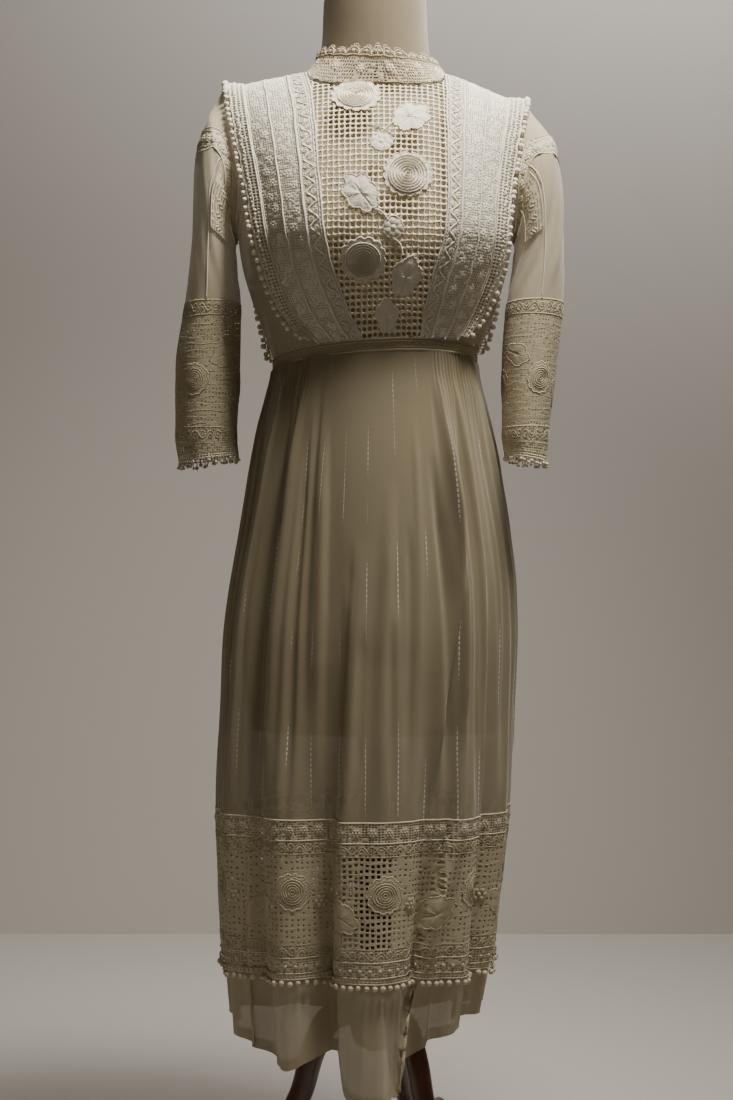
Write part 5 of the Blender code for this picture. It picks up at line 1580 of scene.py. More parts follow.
def make_ball_fringe(side, word):
    """The openwork band that lies over the lawn, with balls on short loops along its free edge."""
    dense = np.linspace(0.02, 1.98, 240)
    inner = seam_x(side, 1.0, dense) + side * FRINGE_SEAM
    lengths = arc_table(bodice_at_x(inner, dense))
    length = lengths[-1]
    base = Chart(bodice_at_x)

    def surface(a, b):
        tau = np.interp(b, lengths, dense)
        x = seam_x(side, 1.0, tau) + side * (FRINGE_SEAM + (fringe_width_at(tau) - 0.0055) * a)
        lift = mix(0.0019, fringe_lift_at(tau), np.clip(a, 0.0, 1.4))
        return base.lifted(x, tau, lift)

    chart = Chart(surface, sign=float(side), step=0.004)
    piece = Piece(f"ball_fringe_{word}_lace")
    columns = np.array((0.0, 0.30, 0.62, 1.0))
    piece.net(chart, columns, centred_steps(length, 0.0040), 0.68, 0.0006, under=False, wobble=0.12)
    along = np.linspace(0, length, 300)
    waver = 0.04 * np.sin(along * 310) + 0.03 * np.sin(along * 127)
    for place, width in ((0.0, 0.0020), (0.62, 0.0014), (1.0, 0.0022)):
        add_cord(piece, chart, place + waver * (place > 0), along, width, 0.0018, 0.0)
    knots = np.arange(0.002, length, 0.0052)
    add_dots(piece, chart, 0.66 + random.uniform(-0.1, 0.1, len(knots)), knots, 0.0021, 0.0018, 0.0, sides=7)
    balls = np.arange(BALL_PITCH / 2, length, BALL_PITCH)
    balls = np.clip(balls + random.uniform(-0.0018, 0.0018, len(balls)), 0.001, length - 0.001)
    tau = np.interp(balls, lengths, dense)
    bunched = np.abs(tau - 1.0) < 0.16
    balls = np.concatenate((balls, balls[bunched] + BALL_PITCH / 2))
    aim = random.uniform(-0.35, 0.35, len(balls))
    points, normals = chart.at(np.array((1.0, 1.12, 1.24))[None], balls[:, None])
    hang = unit(points[:, -1] - points[:, 0])
    beside = np.cross(normals[:, 0], hang)
    outward = normals[:, 0] * random.uniform(-0.1, 0.25, len(balls))[:, None]
    hang = unit(hang + beside * aim[:, None] + outward)
    drop = hang * random.uniform(0.0040, 0.0060, len(balls))[:, None]
    add_hanging_balls(piece, points[:, 0], normals, drop, (0.0013, 0.0013), (0.82, 1.12))
    piece.build(lace, (f"ball_fringe_{word}",))


def add_hanging_balls(piece, points, normals, drop, stem, sizes, sides=7):
    """Balls on short stems. stem is the stems' width and height, and sizes the range of the balls' sizes."""
    stems = np.stack((points, points + drop / 2, points + drop), axis=1)
    piece.cords(stems, normals, *stem)
    piece.balls(points + drop, BALL_RADIUS * random.uniform(*sizes, len(points)), sides)


def make_side_panel(side, word):
    """The lawn between the armhole and the bretelle, and the binding of the armhole."""
    count = 160
    number = np.arange(count) * PANEL_STEPS / count
    s_in, tau_in = armhole_point(side, 360 * number / PANEL_STEPS)
    in_front = number <= PANEL_STEPS / 2
    step = np.where(in_front, number, PANEL_STEPS - number)
    waist = np.where(in_front, 0.0, 2.0)
    corner_s = np.abs(share_at_x(seam_x(side, PANEL_EDGE, waist), waist))
    angle = mix(math.pi / 2, np.arcsin(corner_s ** ANGLE_POWER), np.clip(step / WAIST_STEPS, 0, 1))
    waist_s = np.sin(angle) ** (1 / ANGLE_POWER)
    tau_rail = mix(waist, 1.0, np.clip((step - WAIST_STEPS) / RAIL_STEPS, 0, 1))
    rail_s = np.abs(share_at_x(seam_x(side, PANEL_EDGE, tau_rail), tau_rail))
    on_waist = step < WAIST_STEPS
    s_out = np.minimum(np.where(on_waist, waist_s, rail_s), 1.0)
    tau_out = np.where(on_waist, waist, tau_rail)
    share = np.linspace(0, 1, 28)[:, None]
    angle = mix(np.arcsin(s_in ** ANGLE_POWER), np.arcsin(s_out ** ANGLE_POWER), share ** PANEL_BOW)
    s = side * np.sin(angle) ** (1 / ANGLE_POWER)
    points = bodice_point(s, mix(tau_in, tau_out, share))
    piece = Piece(f"side_panel_{word}_lawn")
    piece.grid(points, closed=True, uvs=stacked(s * 0.25, points[..., 2]))
    item = piece.build(lawn, (f"side_panel_{word}",))
    binding = Piece(f"armhole_binding_{word}")
    add_cord(binding, sleeve_skin(side), 0.05, round_steps(360, 120), 0.0034, 0.0028, 0.0, closed=True)
    binding.build(tape)
    return item


def make_back():
    """The two back panels and the placket that laps over their meeting at centre back."""
    centre = NECK_CENTRE_X
    share = np.linspace(0, 1, 40)[:, None]

    def back_neck(x):
        return neck_tau_at(x, 1.5, NECK_BACK_SQUARENESS)

    sheets = []
    for side, word in ((-1, "left"), (1, "right")):
        top = back_neck(mix(seam_x(side, 0.0, 1.1) + 0 * share, centre, share))
        for _ in range(3):
            top = back_neck(mix(seam_x(side, 0.0, top), centre, share))
        tau = mix(2.0, np.maximum(top, 1.0), np.linspace(0, 1, 60)[None])
        x = mix(seam_x(side, 0.02, tau), centre, share)
        points = bodice_at_x(x, tau)
        piece = Piece(f"back_panel_{word}_lawn")
        piece.grid(points, uvs=stacked(x, points[..., 2]))
        sheets.append(piece.build(lawn, (f"back_panel_{word}",)))
    tau = np.linspace(2.0, float(back_neck(np.array(centre))) + 0.004, 60)
    chart = Chart(bodice_at_x)
    piece = Piece("back_placket_lawn")
    x = np.linspace(centre - 0.012, centre + 0.006, 7)[:, None]
    points = chart.lifted(x, tau[None], 0.0018)
    piece.grid(points, uvs=stacked(x, points[..., 2]))
    sheets.append(piece.build(lawn, ("back_placket",)))
    stitching = Piece("back_placket_stitching")
    for edge in (-0.0115, -0.0085, 0.0035, 0.0055):
        add_cord(stitching, chart, centre + edge, tau, 0.0010, 0.0009, 0.0021)
    stitching.build(tape)
    return sheets


def collar_surface(turn, share):
    """The standing collar: share 0 at the neckline, 1 at the top."""
    across = np.sin(turn)
    ahead = np.cos(turn)
    half_width = NECK_HALF_WIDTH - COLLAR_INSET
    squareness = np.where(ahead > 0, NECK_FRONT_SQUARENESS, NECK_BACK_SQUARENESS)
    x, y = ring_point(turn, half_width, half_width, NECK_FRONT - COLLAR_INSET, NECK_BACK - COLLAR_INSET,
                      squareness)
    x = x + NECK_CENTRE_X
    level = np.where(ahead > 0, BUST_HEIGHT, BLADE_HEIGHT)
    s = x / side_at(1.31)
    depth = np.where(ahead > 0, front_at(level), -back_at(level))
    y_level = -depth * ring_share(s, squareness_at(level))
    reach = np.maximum((y - RIDGE_Y) / (y_level - RIDGE_Y), 0.0)
    rise = np.maximum(0.0, 1 - reach ** ROUNDING) ** (1 / ROUNDING)
    base = mix(level, ridge_at(s), rise) + 0.0012
    top_x = COLLAR_TOP_X + COLLAR_TOP_WIDTH * across
    top_y = -COLLAR_TOP_DEPTH * ahead
    top = COLLAR_TOP_HEIGHT - 0.004 * ahead - 0.006 * across
    bend = np.where(share < 0.5, 1.2 * share, 0.6 + 0.8 * (share - 0.5))
    return stacked(mix(x, top_x, bend), mix(y, top_y, bend), mix(base, top, share))


def make_collar():
    """Crochet with worked flowers, and uneven loops with small picots along its top."""
    turns = np.linspace(-math.pi, math.pi, 721)
    lengths = arc_table(collar_surface(turns, np.full(721, 0.5)))
    girth = lengths[-1]
    chart = Chart(lambda a, b: collar_surface(np.interp(a % girth, lengths, turns), b), step=0.0006)
    piece = Piece("collar_crochet")
    columns = np.linspace(0, girth, int(girth / LACE_PITCH) + 1)
    rows = np.linspace(0.0, 0.86, 10)
    places = [(k * girth / 13 + random.uniform(-0.004, 0.004), random.uniform(0.40, 0.54)) for k in range(13)]
    mid_a, mid_b = mesh_middles(columns, rows)
    filled = random.random((len(columns) - 1, len(rows) - 1)) < 0.12
    for a, b in places:
        filled |= np.hypot(mid_a - a, (mid_b - b) * 0.024) < 0.0048
    piece.net(chart, columns, rows, 0.78, LACE_THREAD, filled=filled, corners=4, under=False, wobble=0.13)
    around = round_steps(girth, 320)
    for share, width in ((0.02, 0.0010), (0.82, 0.0014)):
        waver = 0.012 * np.sin(around * 410 + share * 9) + 0.008 * np.sin(around * 173)
        add_cord(piece, chart, around, share + waver, width, 0.0016, closed=True)
    loops = []
    at = 0.0
    while at < girth - 0.008:
        step = random.uniform(0.0120, 0.0170)
        loops.append((at, min(step, girth - at), random.uniform(0.13, 0.26)))
        at += step
    run = np.linspace(0, 1, 15)
    picots = run[1:-1:2]
    for start, step, rise in loops:
        for share, width in ((1.0, 0.0019), (0.55, 0.0014)):
            add_cord(piece, chart, start + step * run, 0.85 + share * rise * np.sin(math.pi * run) ** 0.6,
                     width, 0.0018, 0.0006)
        points, _ = chart.at(start + step * picots, 0.87 + 1.25 * rise * np.sin(math.pi * picots) ** 0.6)
        piece.balls(points, 0.0011, sides=6)
    middles = np.array([(start + step / 2, 0.87 + rise / 3) for start, step, rise in loops])
    add_dots(piece, chart, middles[:, 0], middles[:, 1], 0.0034, 0.0018, 0.0, sides=9)
    places = np.array(places)
    points, across, along, normals = ways_at(chart, places[:, 0], places[:, 1])
    flowers = Piece("collar_flowers")
    flowers.domes(points + normals * 0.0006, across, along, normals, 0.0020, 0.0020, sides=8)
    for k in range(6):
        turn = 2 * math.pi * k / 6
        petal = points + across * 0.0034 * math.cos(turn) + along * 0.0034 * math.sin(turn)
        flowers.domes(petal + normals * 0.0005, across, along, normals, 0.0018, 0.0013)
    flowers.build(lace)
    piece.build(collar_thread, ("collar_lace",))


def make_waistband():
    def surface(turn, share):
        x, y = ring_point(turn, *WAIST_RING)
        return stacked(x, y, waist_height(x, y) + share)

    chart = Chart(surface, step=CLOTH_STEP)
    piece = Piece("waistband_lace_band")
    low = -BAND_HALF_HEIGHT
    high = BAND_HALF_HEIGHT
    piece.net(chart, np.linspace(0, 2 * math.pi, 241), np.linspace(low, high, 6), 0.50, 0.0004, corners=4,
              under=False, wobble=0.04)
    for share, width in ((low, 0.0024), (low * 0.5, 0.0012), (high * 0.5, 0.0012), (high, 0.0026)):
        add_cord(piece, chart, round_steps(2 * math.pi, 240), share, width, 0.0016, closed=True)
    points, normals = chart.at(round_steps(2 * math.pi, 84), 0.0)
    across = unit(np.cross(np.array((0.0, 0.0, 1.0)), normals))
    along = np.cross(normals, across)
    piece.domes(points + normals * 0.0004, across, along, normals, 0.0018, 0.0011, sides=7)
    piece.build(shaded_lace, ("waistband_lace",))


# Sleeves
def sleeve_skin(side, step=STEP):
    """The outside of a sleeve, by station and turn."""
    return Chart(lambda station, turn: sleeve_point(side, station, turn), float(side), step)


def sleeve_chart(side, first, last):
    """A stretch of sleeve laid flat: a round it from the underarm, b down it."""
    dense = np.linspace(first, last, 80)
    path = (sleeve_point(side, dense, 90.0) + sleeve_point(side, dense, 270.0)) / 2
    lengths = arc_table(path)
    middle = sleeve_point(side, (first + last) / 2, np.linspace(0, 360, 90))
    girth = arc_table(middle)[-1]

    def surface(a, b):
        return sleeve_point(side, np.interp(b, lengths, dense), a / girth * 360)

    return Chart(surface, sign=-float(side)), girth, lengths[-1]


def cap_lace_chart(side):
    """The cap lace laid flat: a round it from the underarm, b from its top edge down."""
    turns = np.linspace(0, 360, 181)
    girth = arc_table(sleeve_point(side, cap_lace_station(turns, 0.5), turns))[-1]
    foot = sleeve_point(side, cap_lace_station(180.0, 1.0), 180.0)
    depth = np.linalg.norm(foot - sleeve_point(side, cap_lace_station(180.0, 0.0), 180.0))

    def surface(a, b):
        turn = a / girth * 360
        return sleeve_point(side, cap_lace_station(turn, b / depth), turn)

    return Chart(surface, sign=-float(side)), girth, depth


def sleeve_creases(side, station, turn):
    """Soft drag lines of the upper sleeve."""
    slant = turn + 26 * (station - 3.5) * (1 if side > 0 else 0.8)
    wave = 0.6 * np.sin(np.radians(slant * 5)) + 0.4 * np.sin(np.radians(slant * 11 + 40))
    fade = np.clip(np.minimum(station - 0.1, ELBOW_SEAM + 0.1 - station), 0, 1)
    return 0.0011 * wave * fade


def make_sleeve_lawn(side, word, skin):
    """The cap and the upper sleeve of lawn, and the seam down the upper sleeve."""
    turns = round_steps(360, 110)[None]
    sheets = []
    cap_top = cap_lace_station(turns, 0.0) * np.linspace(0, 1, 18)[:, None]
    upper = mix(cap_lace_station(turns, 1.0), ELBOW_SEAM, np.linspace(0, 1, 48)[:, None])
    for name, station in (("cap", cap_top), ("upper", upper)):
        points = skin.lifted(station, turns, sleeve_creases(side, station, turns))
        piece = Piece(f"sleeve_{name}_{word}_lawn")
        piece.grid(points, closed=True, uvs=stacked(turns / 360 * 0.34, points[..., 2]))
        sheets.append(piece.build(lawn, (f"sleeve_{name}_{word}",)))
    seam = Piece(f"sleeve_seam_{word}")
    down = np.linspace(float(cap_lace_station(SEAM_TURN, 1.0)), ELBOW_SEAM, 60)
    add_cord(seam, skin, down, SEAM_TURN, 0.0014, 0.0012)
    seam.build(tape)
    return sheets


def make_cap_lace(side, word):
    chart, girth, length = cap_lace_chart(side)
    piece = Piece(f"sleeve_cap_lace_{word}_band")
    pitch = 0.0031
    columns = np.linspace(0, girth, int(girth / pitch))
    lace_ground(piece, chart, columns, centred_steps(length, pitch), speckle=0.28)
    places = np.arange(0.006, girth - 0.004, 0.016)
    add_flower(piece, chart, places, np.full(len(places), length * 0.5), 0.0062, 0.0006)
    for share, width in ((0.0, 0.0014), (0.16, 0.0010), (0.84, 0.0010), (1.0, 0.0018)):
        add_cord(piece, chart, round_steps(girth, 110), length * share, width, 0.0009, 0.0004, closed=True)
    piece.build(sleeve_lace, (f"sleeve_cap_lace_{word}",))


def make_inset(side, word, skin):
    """The upright strip of lace that lies on the front of the upper sleeve."""
    dense = np.linspace(float(cap_lace_station(INSET_MIDDLE_TURN, 1.0)) + 0.02, INSET_END, 80)
    lengths = arc_table(sleeve_point(side, dense, INSET_MIDDLE_TURN))
    length = lengths[-1]

    def surface(a, b):
        turn = INSET_MIDDLE_TURN + a / INSET_WIDTH * 2 * INSET_HALF_TURN
        return skin.lifted(np.interp(b, lengths, dense), turn, INSET_LIFT)

    chart = Chart(surface, sign=-float(side))
    piece = Piece(f"sleeve_inset_{word}_lace")
    columns = np.linspace(-0.5, 0.5, 8) * INSET_WIDTH
    lace_ground(piece, chart, columns, centred_steps(length, 0.0024), speckle=0.28)
    places = np.arange(0.008, length - 0.004, 0.015)
    add_flower(piece, chart, 0 * places, places, 0.0040, 0.0001)
    for edge in (-0.5, 0.5):
        add_cord(piece, chart, edge * INSET_WIDTH, np.linspace(0, length, 80), 0.0016, 0.0010)
    piece.build(sleeve_lace, (f"sleeve_inset_{word}",))


def make_lower_sleeve(side, word):
    """Crochet net with three roses and three leaves, between two scroll borders."""
    chart, girth, length = sleeve_chart(side, ELBOW_SEAM, CUFF_SEAM)
    piece = Piece(f"sleeve_lower_{word}_crochet")
    scroll = 0.017
    foot = 0.030
    columns = np.linspace(0, girth, int(girth / 0.0048) + 1)
    rows = scroll + centred_steps(length - scroll - foot, 0.0052)
    mid_a, mid_b = mesh_middles(columns, rows)
    filled = np.zeros((len(columns) - 1, len(rows) - 1), bool)
    roses = [(0.30 * girth, length * 0.52), (0.62 * girth, length * 0.40), (0.02 * girth, length * 0.55)]
    for a, b in roses:
        filled |= np.hypot(mid_a - a, mid_b - b) < 0.014
    filled |= random.random(filled.shape) < 0.16
    piece.net(chart, columns, rows, (0.50, 0.40), NET_THREAD * 0.4, filled=filled, corners=4, under=False,
              wobble=0.12, waver=0.20)
    fine = np.linspace(0, girth, int(girth / 0.0034) + 1)
    lace_ground(piece, chart, fine, np.linspace(0, scroll, 7), speckle=0.3)
    lace_ground(piece, chart, fine, np.linspace(length - foot, length, 11), speckle=0.3)
    around = round_steps(girth, 90)
    for k, b in enumerate(np.arange(scroll + 0.003, length - foot, 0.0078)):
        wave = 0.0009 * np.sin(around / girth * 2 * math.pi * 7 + k * 2.3) + 0.0006 * np.sin(around * 210 + k)
        add_cord(piece, chart, around, b + wave, 0.0009, 0.0003, 0.0002, sides=3, closed=True)
    for middle in (scroll * 0.5, length - foot + 0.009):
        add_scroll(piece, chart, girth, middle, 0.0045, 0.021)
    for a, b in roses:
        add_rose(piece, chart, a, b, 0.0135, 0.0190, petals=12, count=5, fine=0.5, relief=0.30)
    for a, b, tilt in ((0.46, 0.60, 60), (0.80, 0.62, 120), (0.15, 0.36, 20)):
        add_worked_leaf(piece, chart, a * girth, length * b, 0.019, 0.013, tilt, 2, fine=0.6, relief=0.25)
    for b, width in ((0.0, 0.0018), (scroll, 0.0011), (length - foot, 0.0014), (length - 0.011, 0.0010)):
        add_cord(piece, chart, round_steps(girth, 160), b, width, 0.0007, 0.0003, closed=True)
    piece.build(shaded_net, (f"sleeve_lower_lace_{word}",))


def make_cuff(side, word):
    """The ball edging of the cuff, with balls of uneven size that hang at uneven heights."""
    chart, girth, length = sleeve_chart(side, CUFF_SEAM, CUFF_END)
    piece = Piece(f"sleeve_edging_{word}_balls")
    foot = length * 0.8
    columns = np.linspace(0, girth, int(girth / 0.0040) + 1)
    piece.net(chart, columns, np.linspace(0.0, foot, 3), 0.55, 0.0006, wobble=0.04)
    add_cord(piece, chart, round_steps(girth, 160), foot, 0.0018, 0.0018, 0.0, closed=True)
    count = int(girth / 0.0056)
    places = np.arange(count) * girth / count + random.uniform(-0.0012, 0.0012, count)
    points, normals = chart.at(places, foot)
    drop = random.normal(0, 0.0010, (count, 3))
    drop[:, 2] = -random.uniform(0.0030, 0.0072, count)
    add_hanging_balls(piece, points, np.stack((normals,) * 3, axis=1), drop, (0.0016, 0.0014), (0.45, 0.75),
                      sides=6)
    piece.build(sleeve_lace, (f"sleeve_edging_{word}",))


def make_sleeve(side, word):
    skin = sleeve_skin(side, step=0.01)
    sheets = make_sleeve_lawn(side, word, skin)
    make_cap_lace(side, word)
    make_inset(side, word, skin)
    make_lower_sleeve(side, word)
    make_cuff(side, word)
    return sheets


def add_scroll(piece, chart, girth, middle, swing, bend):
    """A waving vine with a ring in each bend, round a tube."""
    count = max(2, int(round(girth / bend)))
    around = round_steps(girth, count * 12)
    wave = middle + swing * np.sin(2 * math.pi * count * around / girth)
    add_cord(piece, chart, around, wave, 0.0014, 0.0008, 0.0005, sides=3, closed=True)
    crests = (np.arange(2 * count) + 0.5) * girth / (2 * count)
    sign = np.where(np.arange(2 * count) % 2 == 0, -1.0, 1.0)
    ring_a, ring_b = circle(0.0027, 8)
    add_cord(piece, chart, crests[:, None] + ring_a, middle + 0.45 * swing * sign[:, None] + ring_b,
             0.0011, 0.0007, 0.0005, sides=3, closed=True)


# Skirt: its way round at the level of the band, by bearing
ring_bearings = np.linspace(-180, 180, 1441)
ring_lengths = arc_table(skirt_point(ring_bearings, GIRTH_LEVEL, creases=False))
GIRTH = ring_lengths[-1]


def skirt_chart(lift=0.0):
    """The skirt laid flat: a round it from centre back, b its height."""
    base = Chart(skirt_point, step=CLOTH_STEP)

    def surface(a, b):
        bearing = np.interp(a % GIRTH, ring_lengths, ring_bearings)
        if lift:
            return base.lifted(bearing, b, lift)
        return skirt_point(bearing, b)

    return Chart(surface)


def make_skirt():
    """The skirt's tube: close columns where it is gathered, and every second one below."""
    bearings = round_steps(360, SKIRT_COLUMNS)[None] - 180
    around = np.interp(bearings, ring_bearings, ring_lengths)
    piece = Piece("skirt_lawn_cloth")
    upper = mix(skirt_top(bearings), GATHER_FOOT, np.linspace(0, 1, GATHER_ROWS)[:, None])
    piece.grid(skirt_point(bearings, upper), closed=True, uvs=stacked(around, upper))
    above = np.arange(SKIRT_COLUMNS) + (GATHER_ROWS - 1) * SKIRT_COLUMNS
    lower = mix(GATHER_FOOT, BAND_TOP - 0.001, np.linspace(0, 1, 54)[1:, None])
    below = piece.count + np.arange(SKIRT_COLUMNS // 2)
    piece.grid(skirt_point(bearings[:, ::2], lower), closed=True, uvs=stacked(around[:, ::2], lower))
    joint = stacked(np.roll(below, -1), below, above[::2], above[1::2], np.roll(above[::2], -1))
    piece.add(np.zeros((0, 3)), [joint - piece.count])
    return piece.build(striped_shaded_lawn, ("skirt_lawn",))


def add_band_cord(piece, chart, height, width, depth, lift, sides=4):
    """A cord round the band at one height."""
    add_cord(piece, chart, round_steps(GIRTH, BAND_STEPS), height, width, depth, lift, sides, closed=True)


def make_top_strip(chart, fine):
    piece = Piece("band_top_strip_lace")
    places = np.arange(0.008, GIRTH, 0.0185)
    middle = mix(BAND_TOP, TOP_STRIP_FOOT, 0.5)
    flowers = [(a, middle, a * 50) for a in places]
    rows = np.linspace(TOP_STRIP_FOOT, BAND_TOP, 9)
    lace_ground(piece, chart, fine, rows, flowers, radius=0.0068, speckle=0.26)
    add_flower(piece, chart, places, np.full(len(places), middle), 0.0050, 0.0003)
    for height in (BAND_TOP, TOP_STRIP_FOOT):
        add_band_cord(piece, chart, height, 0.0020, 0.0008, 0.0004)
    piece.build(shaded_lace, ("band_top_strip",))


def make_wide_net(chart, fine):
    """Crochet net with roses, leaves and flowers in an even repeat, and a scroll border above and below."""
    piece = Piece("band_wide_net_crochet")
    columns = np.linspace(0, GIRTH, int(GIRTH / NET_PITCH_ACROSS) + 1)
    rows = centred_steps(TOP_STRIP_FOOT - NET_FOOT - 2 * SCROLL_DEPTH, 0.0066) + NET_FOOT + SCROLL_DEPTH
    mid_a, mid_b = mesh_middles(columns, rows)
    count = int(GIRTH / 0.118)
    step = GIRTH / count
    roses = [((k + 0.85) * step % GIRTH, 0.362) for k in range(count)]
    filled = np.zeros((len(columns) - 1, len(rows) - 1), bool)
    for a, b in roses:
        filled |= np.hypot(mid_a - a, mid_b - b) < 0.016
    filled |= random.random(filled.shape) < 0.14
    first, last = np.interp(CLEAR_NET, ring_bearings, ring_lengths)
    clear = (mid_a > first) & (mid_a < last) & (mid_b < 1)
    for shown, hole in ((clear, CLEAR_HOLE), (~clear, CLOSE_HOLE)):
        piece.net(chart, columns, rows, hole, NET_THREAD * 0.5, keep=shown, filled=filled & ~clear, corners=4,
                  under=False, wobble=0.10, waver=0.22)
    steps = round_steps(GIRTH, 320)
    for b in rows[1:-1:2]:
        wave = 0.0010 * np.sin(steps * 2 * math.pi / 0.037 + b * 900) + 0.0006 * np.sin(steps * 190 + b * 700)
        add_cord(piece, chart, steps, b + wave, 0.0010, 0.0004, 0.0002, sides=3, closed=True)
    for low, high in ((TOP_STRIP_FOOT - SCROLL_DEPTH, TOP_STRIP_FOOT), (NET_FOOT, NET_FOOT + SCROLL_DEPTH)):
        lace_ground(piece, chart, fine, np.linspace(low, high, 6), speckle=0.3)
        add_scroll(piece, chart, GIRTH, (low + high) / 2, 0.0042, 0.0215)
        for height in (low, high):
            add_band_cord(piece, chart, height, 0.0012, 0.0006, 0.0003, sides=3)
    for a, b in roses:
        add_rose(piece, chart, a, b, 0.0150, 0.0215, petals=13, count=5, fine=0.45, relief=0.35)
    for k in range(count):
        add_worked_leaf(piece, chart, (k + 0.42) * step % GIRTH, 0.337, 0.025, 0.017, 35 if k % 2 else 145, 3,
                        fine=0.6, relief=0.30)
    for k in range(count):
        add_flower(piece, chart, (k + 0.12) * step % GIRTH, 0.350, 0.0085, 0.0010)
    piece.build(shaded_net, ("band_wide_net",))


def make_bottom_strip(chart, fine):
    piece = Piece("band_bottom_strip_lace")
    lace_ground(piece, chart, fine, np.linspace(BOTTOM_STRIP_FOOT, NET_FOOT, 7), speckle=0.3)
    places = np.arange(0.004, GIRTH, 0.0115)
    middle = mix(BOTTOM_STRIP_FOOT, NET_FOOT, 0.45)
    add_dots(piece, chart, places, np.full(len(places), middle), 0.0024, 0.0012, 0.0005, sides=7)
    for height, width in ((NET_FOOT, 0.0019), (BOTTOM_STRIP_FOOT, 0.0017)):
        add_band_cord(piece, chart, height, width, 0.0008, 0.0004)
    piece.build(shaded_lace, ("band_bottom_strip",))


def make_band_fringe():
    piece = Piece("band_ball_fringe_lace")
    chart = skirt_chart(lift=0.0024)
    columns = np.linspace(0, GIRTH, int(GIRTH / 0.0046) + 1)
    piece.net(chart, columns, np.linspace(FRINGE_FOOT, FRINGE_TOP, 3), 0.55, 0.0006, under=False, wobble=0.04)
    add_band_cord(piece, chart, FRINGE_CORD, 0.0018, 0.0018, 0.0)
    count = int(GIRTH / 0.0088)
    points, normals = chart.at(np.arange(count) * GIRTH / count, FRINGE_CORD)
    drop = np.zeros((count, 3))
    drop[:, 2] = -random.uniform(0.0042, 0.0064, count)
    add_hanging_balls(piece, points, np.stack((normals,) * 3, axis=1), drop, (0.0014, 0.0014), (0.88, 1.05))
    piece.build(shaded_lace, ("band_ball_fringe",))


def make_band():
    chart = skirt_chart()
    fine = np.linspace(0, GIRTH, int(GIRTH / 0.0036) + 1)
    make_top_strip(chart, fine)
    make_wide_net(chart, fine)
    make_bottom_strip(chart, fine)
    make_band_fringe()


def make_flounce():
    """The flounce and the turned-up hem inside its foot, with a line of stitching."""
    bearings = round_steps(360, 900)[None] - 180
    around = np.interp(bearings, ring_bearings, ring_lengths)
    wrapped = (bearings + 90) % 360 - 90
    share = np.linspace(0, 1, 26)[:, None]
    height = mix(FLOUNCE_TOP, hem_at(wrapped), share)
    base = Chart(skirt_point, step=CLOTH_STEP)
    flare = 0.0010 * np.sin(np.radians(wrapped * 9 + 30)) + 0.0008 * np.sin(np.radians(wrapped * 23))
    lift = -FLOUNCE_TUCK + flare * np.clip((share - 0.2) * 2, 0, 1)
    piece = Piece("flounce_lawn_cloth")
    piece.grid(base.lifted(bearings, height, lift), closed=True, uvs=stacked(around, height))
    item = piece.build(flounce_shaded_lawn, ("flounce_lawn",))
    hem = Piece("flounce_hem")
    low = np.linspace(0, 1, 4)[:, None]
    height = hem_at(wrapped) + 0.012 * low + 0.0004
    inside = base.lifted(bearings, height, -FLOUNCE_TUCK - 0.0006 + flare + 0 * low)
    hem.grid(inside, closed=True, uvs=stacked(around, height))
    lift = (flare[0] - FLOUNCE_TUCK)[:, None]
    add_cord(hem, base, bearings[0], hem_at(wrapped)[0], 0.0009, 0.0007, lift, sides=3, closed=True)
    return item, hem.build(flounce_shaded_lawn)


make_form()
turned_piece("stand_post_wood", POST_PROFILE, "stand_post")
turned_piece("stand_hub_wood", HUB_PROFILE, "stand_hub")
for number, bearing in enumerate(LEG_BEARINGS, start=1):
    make_leg(number, bearing)
    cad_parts[f"stand_pad_{number}"].data.materials.clear()
    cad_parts[f"stand_pad_{number}"].data.materials.append(mahogany)
make_yoke()
make_motifs()
for side, word in ((-1, "left"), (1, "right")):
    make_scroll_strip(side, word)
    make_lace_strip(side, word, "lace_strip_inner", MIDDLE_SEAMS[0], MIDDLE_SEAMS[1], 0.0300, 0.35)
    make_lace_strip(side, word, "lace_strip_outer", MIDDLE_SEAMS[1], 1.0, 0.0270, 0.70)
    make_seam_tapes(side, word)
    make_ball_fringe(side, word)
    side_panel = make_side_panel(side, word)
    sleeve_cap, sleeve_upper = make_sleeve(side, word)
back_left, back_right, placket = make_back()
make_collar()
make_waistband()
skirt = make_skirt()
make_band()
flounce, hem = make_flounce()


# Studio
def clear_from_behind(tree, shader):
    """Makes a material show from its front only."""
    way = add_node(tree, "ShaderNodeNewGeometry")
    clear = add_node(tree, "ShaderNodeBsdfTransparent")
    either = add_node(tree, "ShaderNodeMixShader")
    tree.links.new(way.outputs["Backfacing"], either.inputs["Fac"])
    tree.links.new(shader.outputs["BSDF"], either.inputs[1])
    tree.links.new(clear.outputs["BSDF"], either.inputs[2])
    output = next(node for node in tree.nodes if node.bl_idname == "ShaderNodeOutputMaterial")
    tree.links.new(either.outputs["Shader"], output.inputs["Surface"])


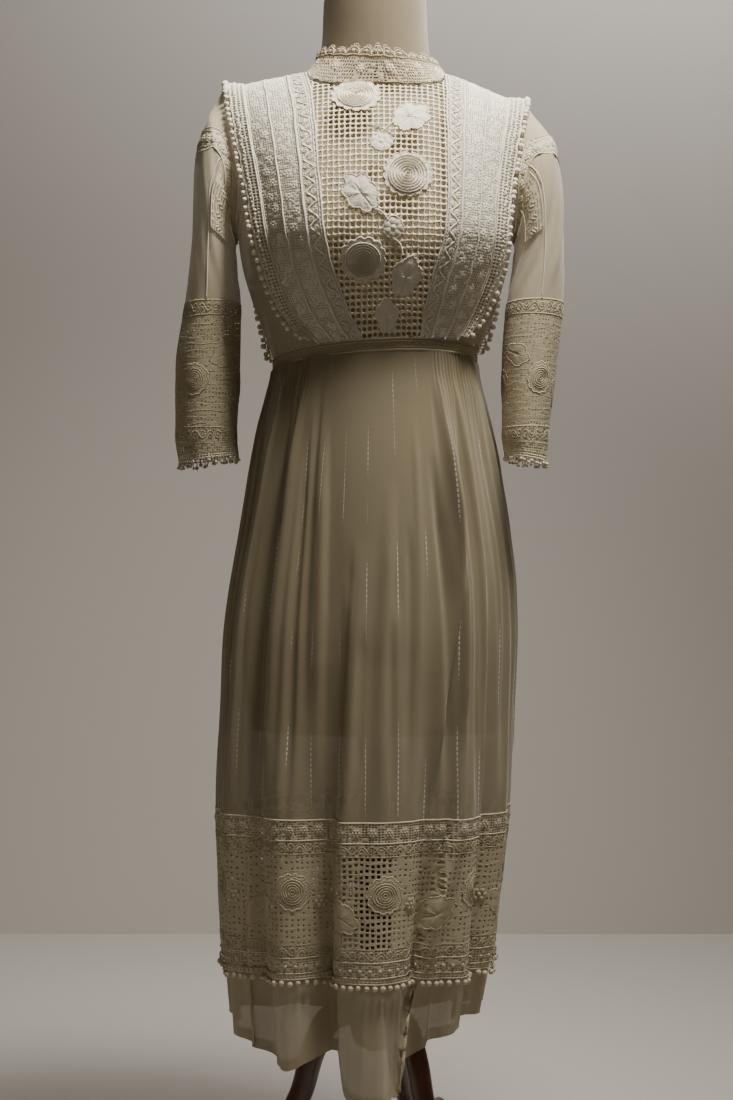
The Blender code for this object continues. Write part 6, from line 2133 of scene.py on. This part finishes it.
def make_stage():
    """A pale floor, and a pale wall that only shows from its front, so that it hides nothing from behind."""
    near = -FLOOR_REACH
    far = FLOOR_REACH
    wall = WALL_DISTANCE
    for name, colour, points in (
            ("studio_floor", (0.46, 0.44, 0.415),
             [(near, near, 0), (far, near, 0), (far, far, 0), (near, far, 0)]),
            ("studio_wall", (0.60, 0.57, 0.54),
             [(near, wall, 0), (far, wall, 0), (far, wall, WALL_HEIGHT), (near, wall, WALL_HEIGHT)])):
        material, tree, shader = new_material(name + "_paint", colour, 0.9)
        if name == "studio_wall":
            clear_from_behind(tree, shader)
        mesh = bpy.data.meshes.new(name)
        mesh.from_pydata(points, [], [(0, 1, 2, 3)])
        mesh.materials.append(material)
        item = bpy.data.objects.new(name, mesh)
        bpy.context.scene.collection.objects.link(item)


def add_area(name, place, target, size, power, colour, spread=180):
    data = bpy.data.lights.new(name, "AREA")
    data.shape = "RECTANGLE"
    data.size, data.size_y = size
    data.energy = power
    data.color = colour
    data.spread = math.radians(spread)
    item = bpy.data.objects.new(name, data)
    item.location = place
    item.rotation_euler = (Vector(target) - Vector(place)).to_track_quat("-Z", "Y").to_euler()
    bpy.context.scene.collection.objects.link(item)


def make_light():
    """A lamp near the ceiling in front, a wash on the wall, and a little warm light all round."""
    add_area("ceiling", (0.37, -0.37, 2.36), (0.02, -0.05, 1.15), (0.45, 0.45), 11.7, (1.0, 0.95, 0.86),
             spread=80)
    add_area("wall_wash", (0.60, 0.65, 2.70), (0.25, WALL_DISTANCE, 1.55), (1.8, 0.3), 31.0,
             (1.0, 0.96, 0.91))
    world = bpy.data.worlds.new("studio_air")
    world.use_nodes = True
    world.node_tree.nodes["Background"].inputs["Color"].default_value = (1.0, 0.87, 0.62, 1.0)
    world.node_tree.nodes["Background"].inputs["Strength"].default_value = 0.075
    bpy.context.scene.world = world


def make_camera():
    data = bpy.data.cameras.new("camera")
    data.lens = LENS
    data.sensor_fit = "VERTICAL"
    data.sensor_height = FILM_LONG_SIDE
    item = bpy.data.objects.new("camera", data)
    item.location = (AXIS[0] + EYE_ASIDE, AXIS[1] - EYE_DISTANCE, EYE_HEIGHT)
    item.rotation_euler = (math.pi / 2, 0.0, 0.0)
    bpy.context.scene.collection.objects.link(item)
    bpy.context.scene.camera = item


make_stage()
make_light()
make_camera()
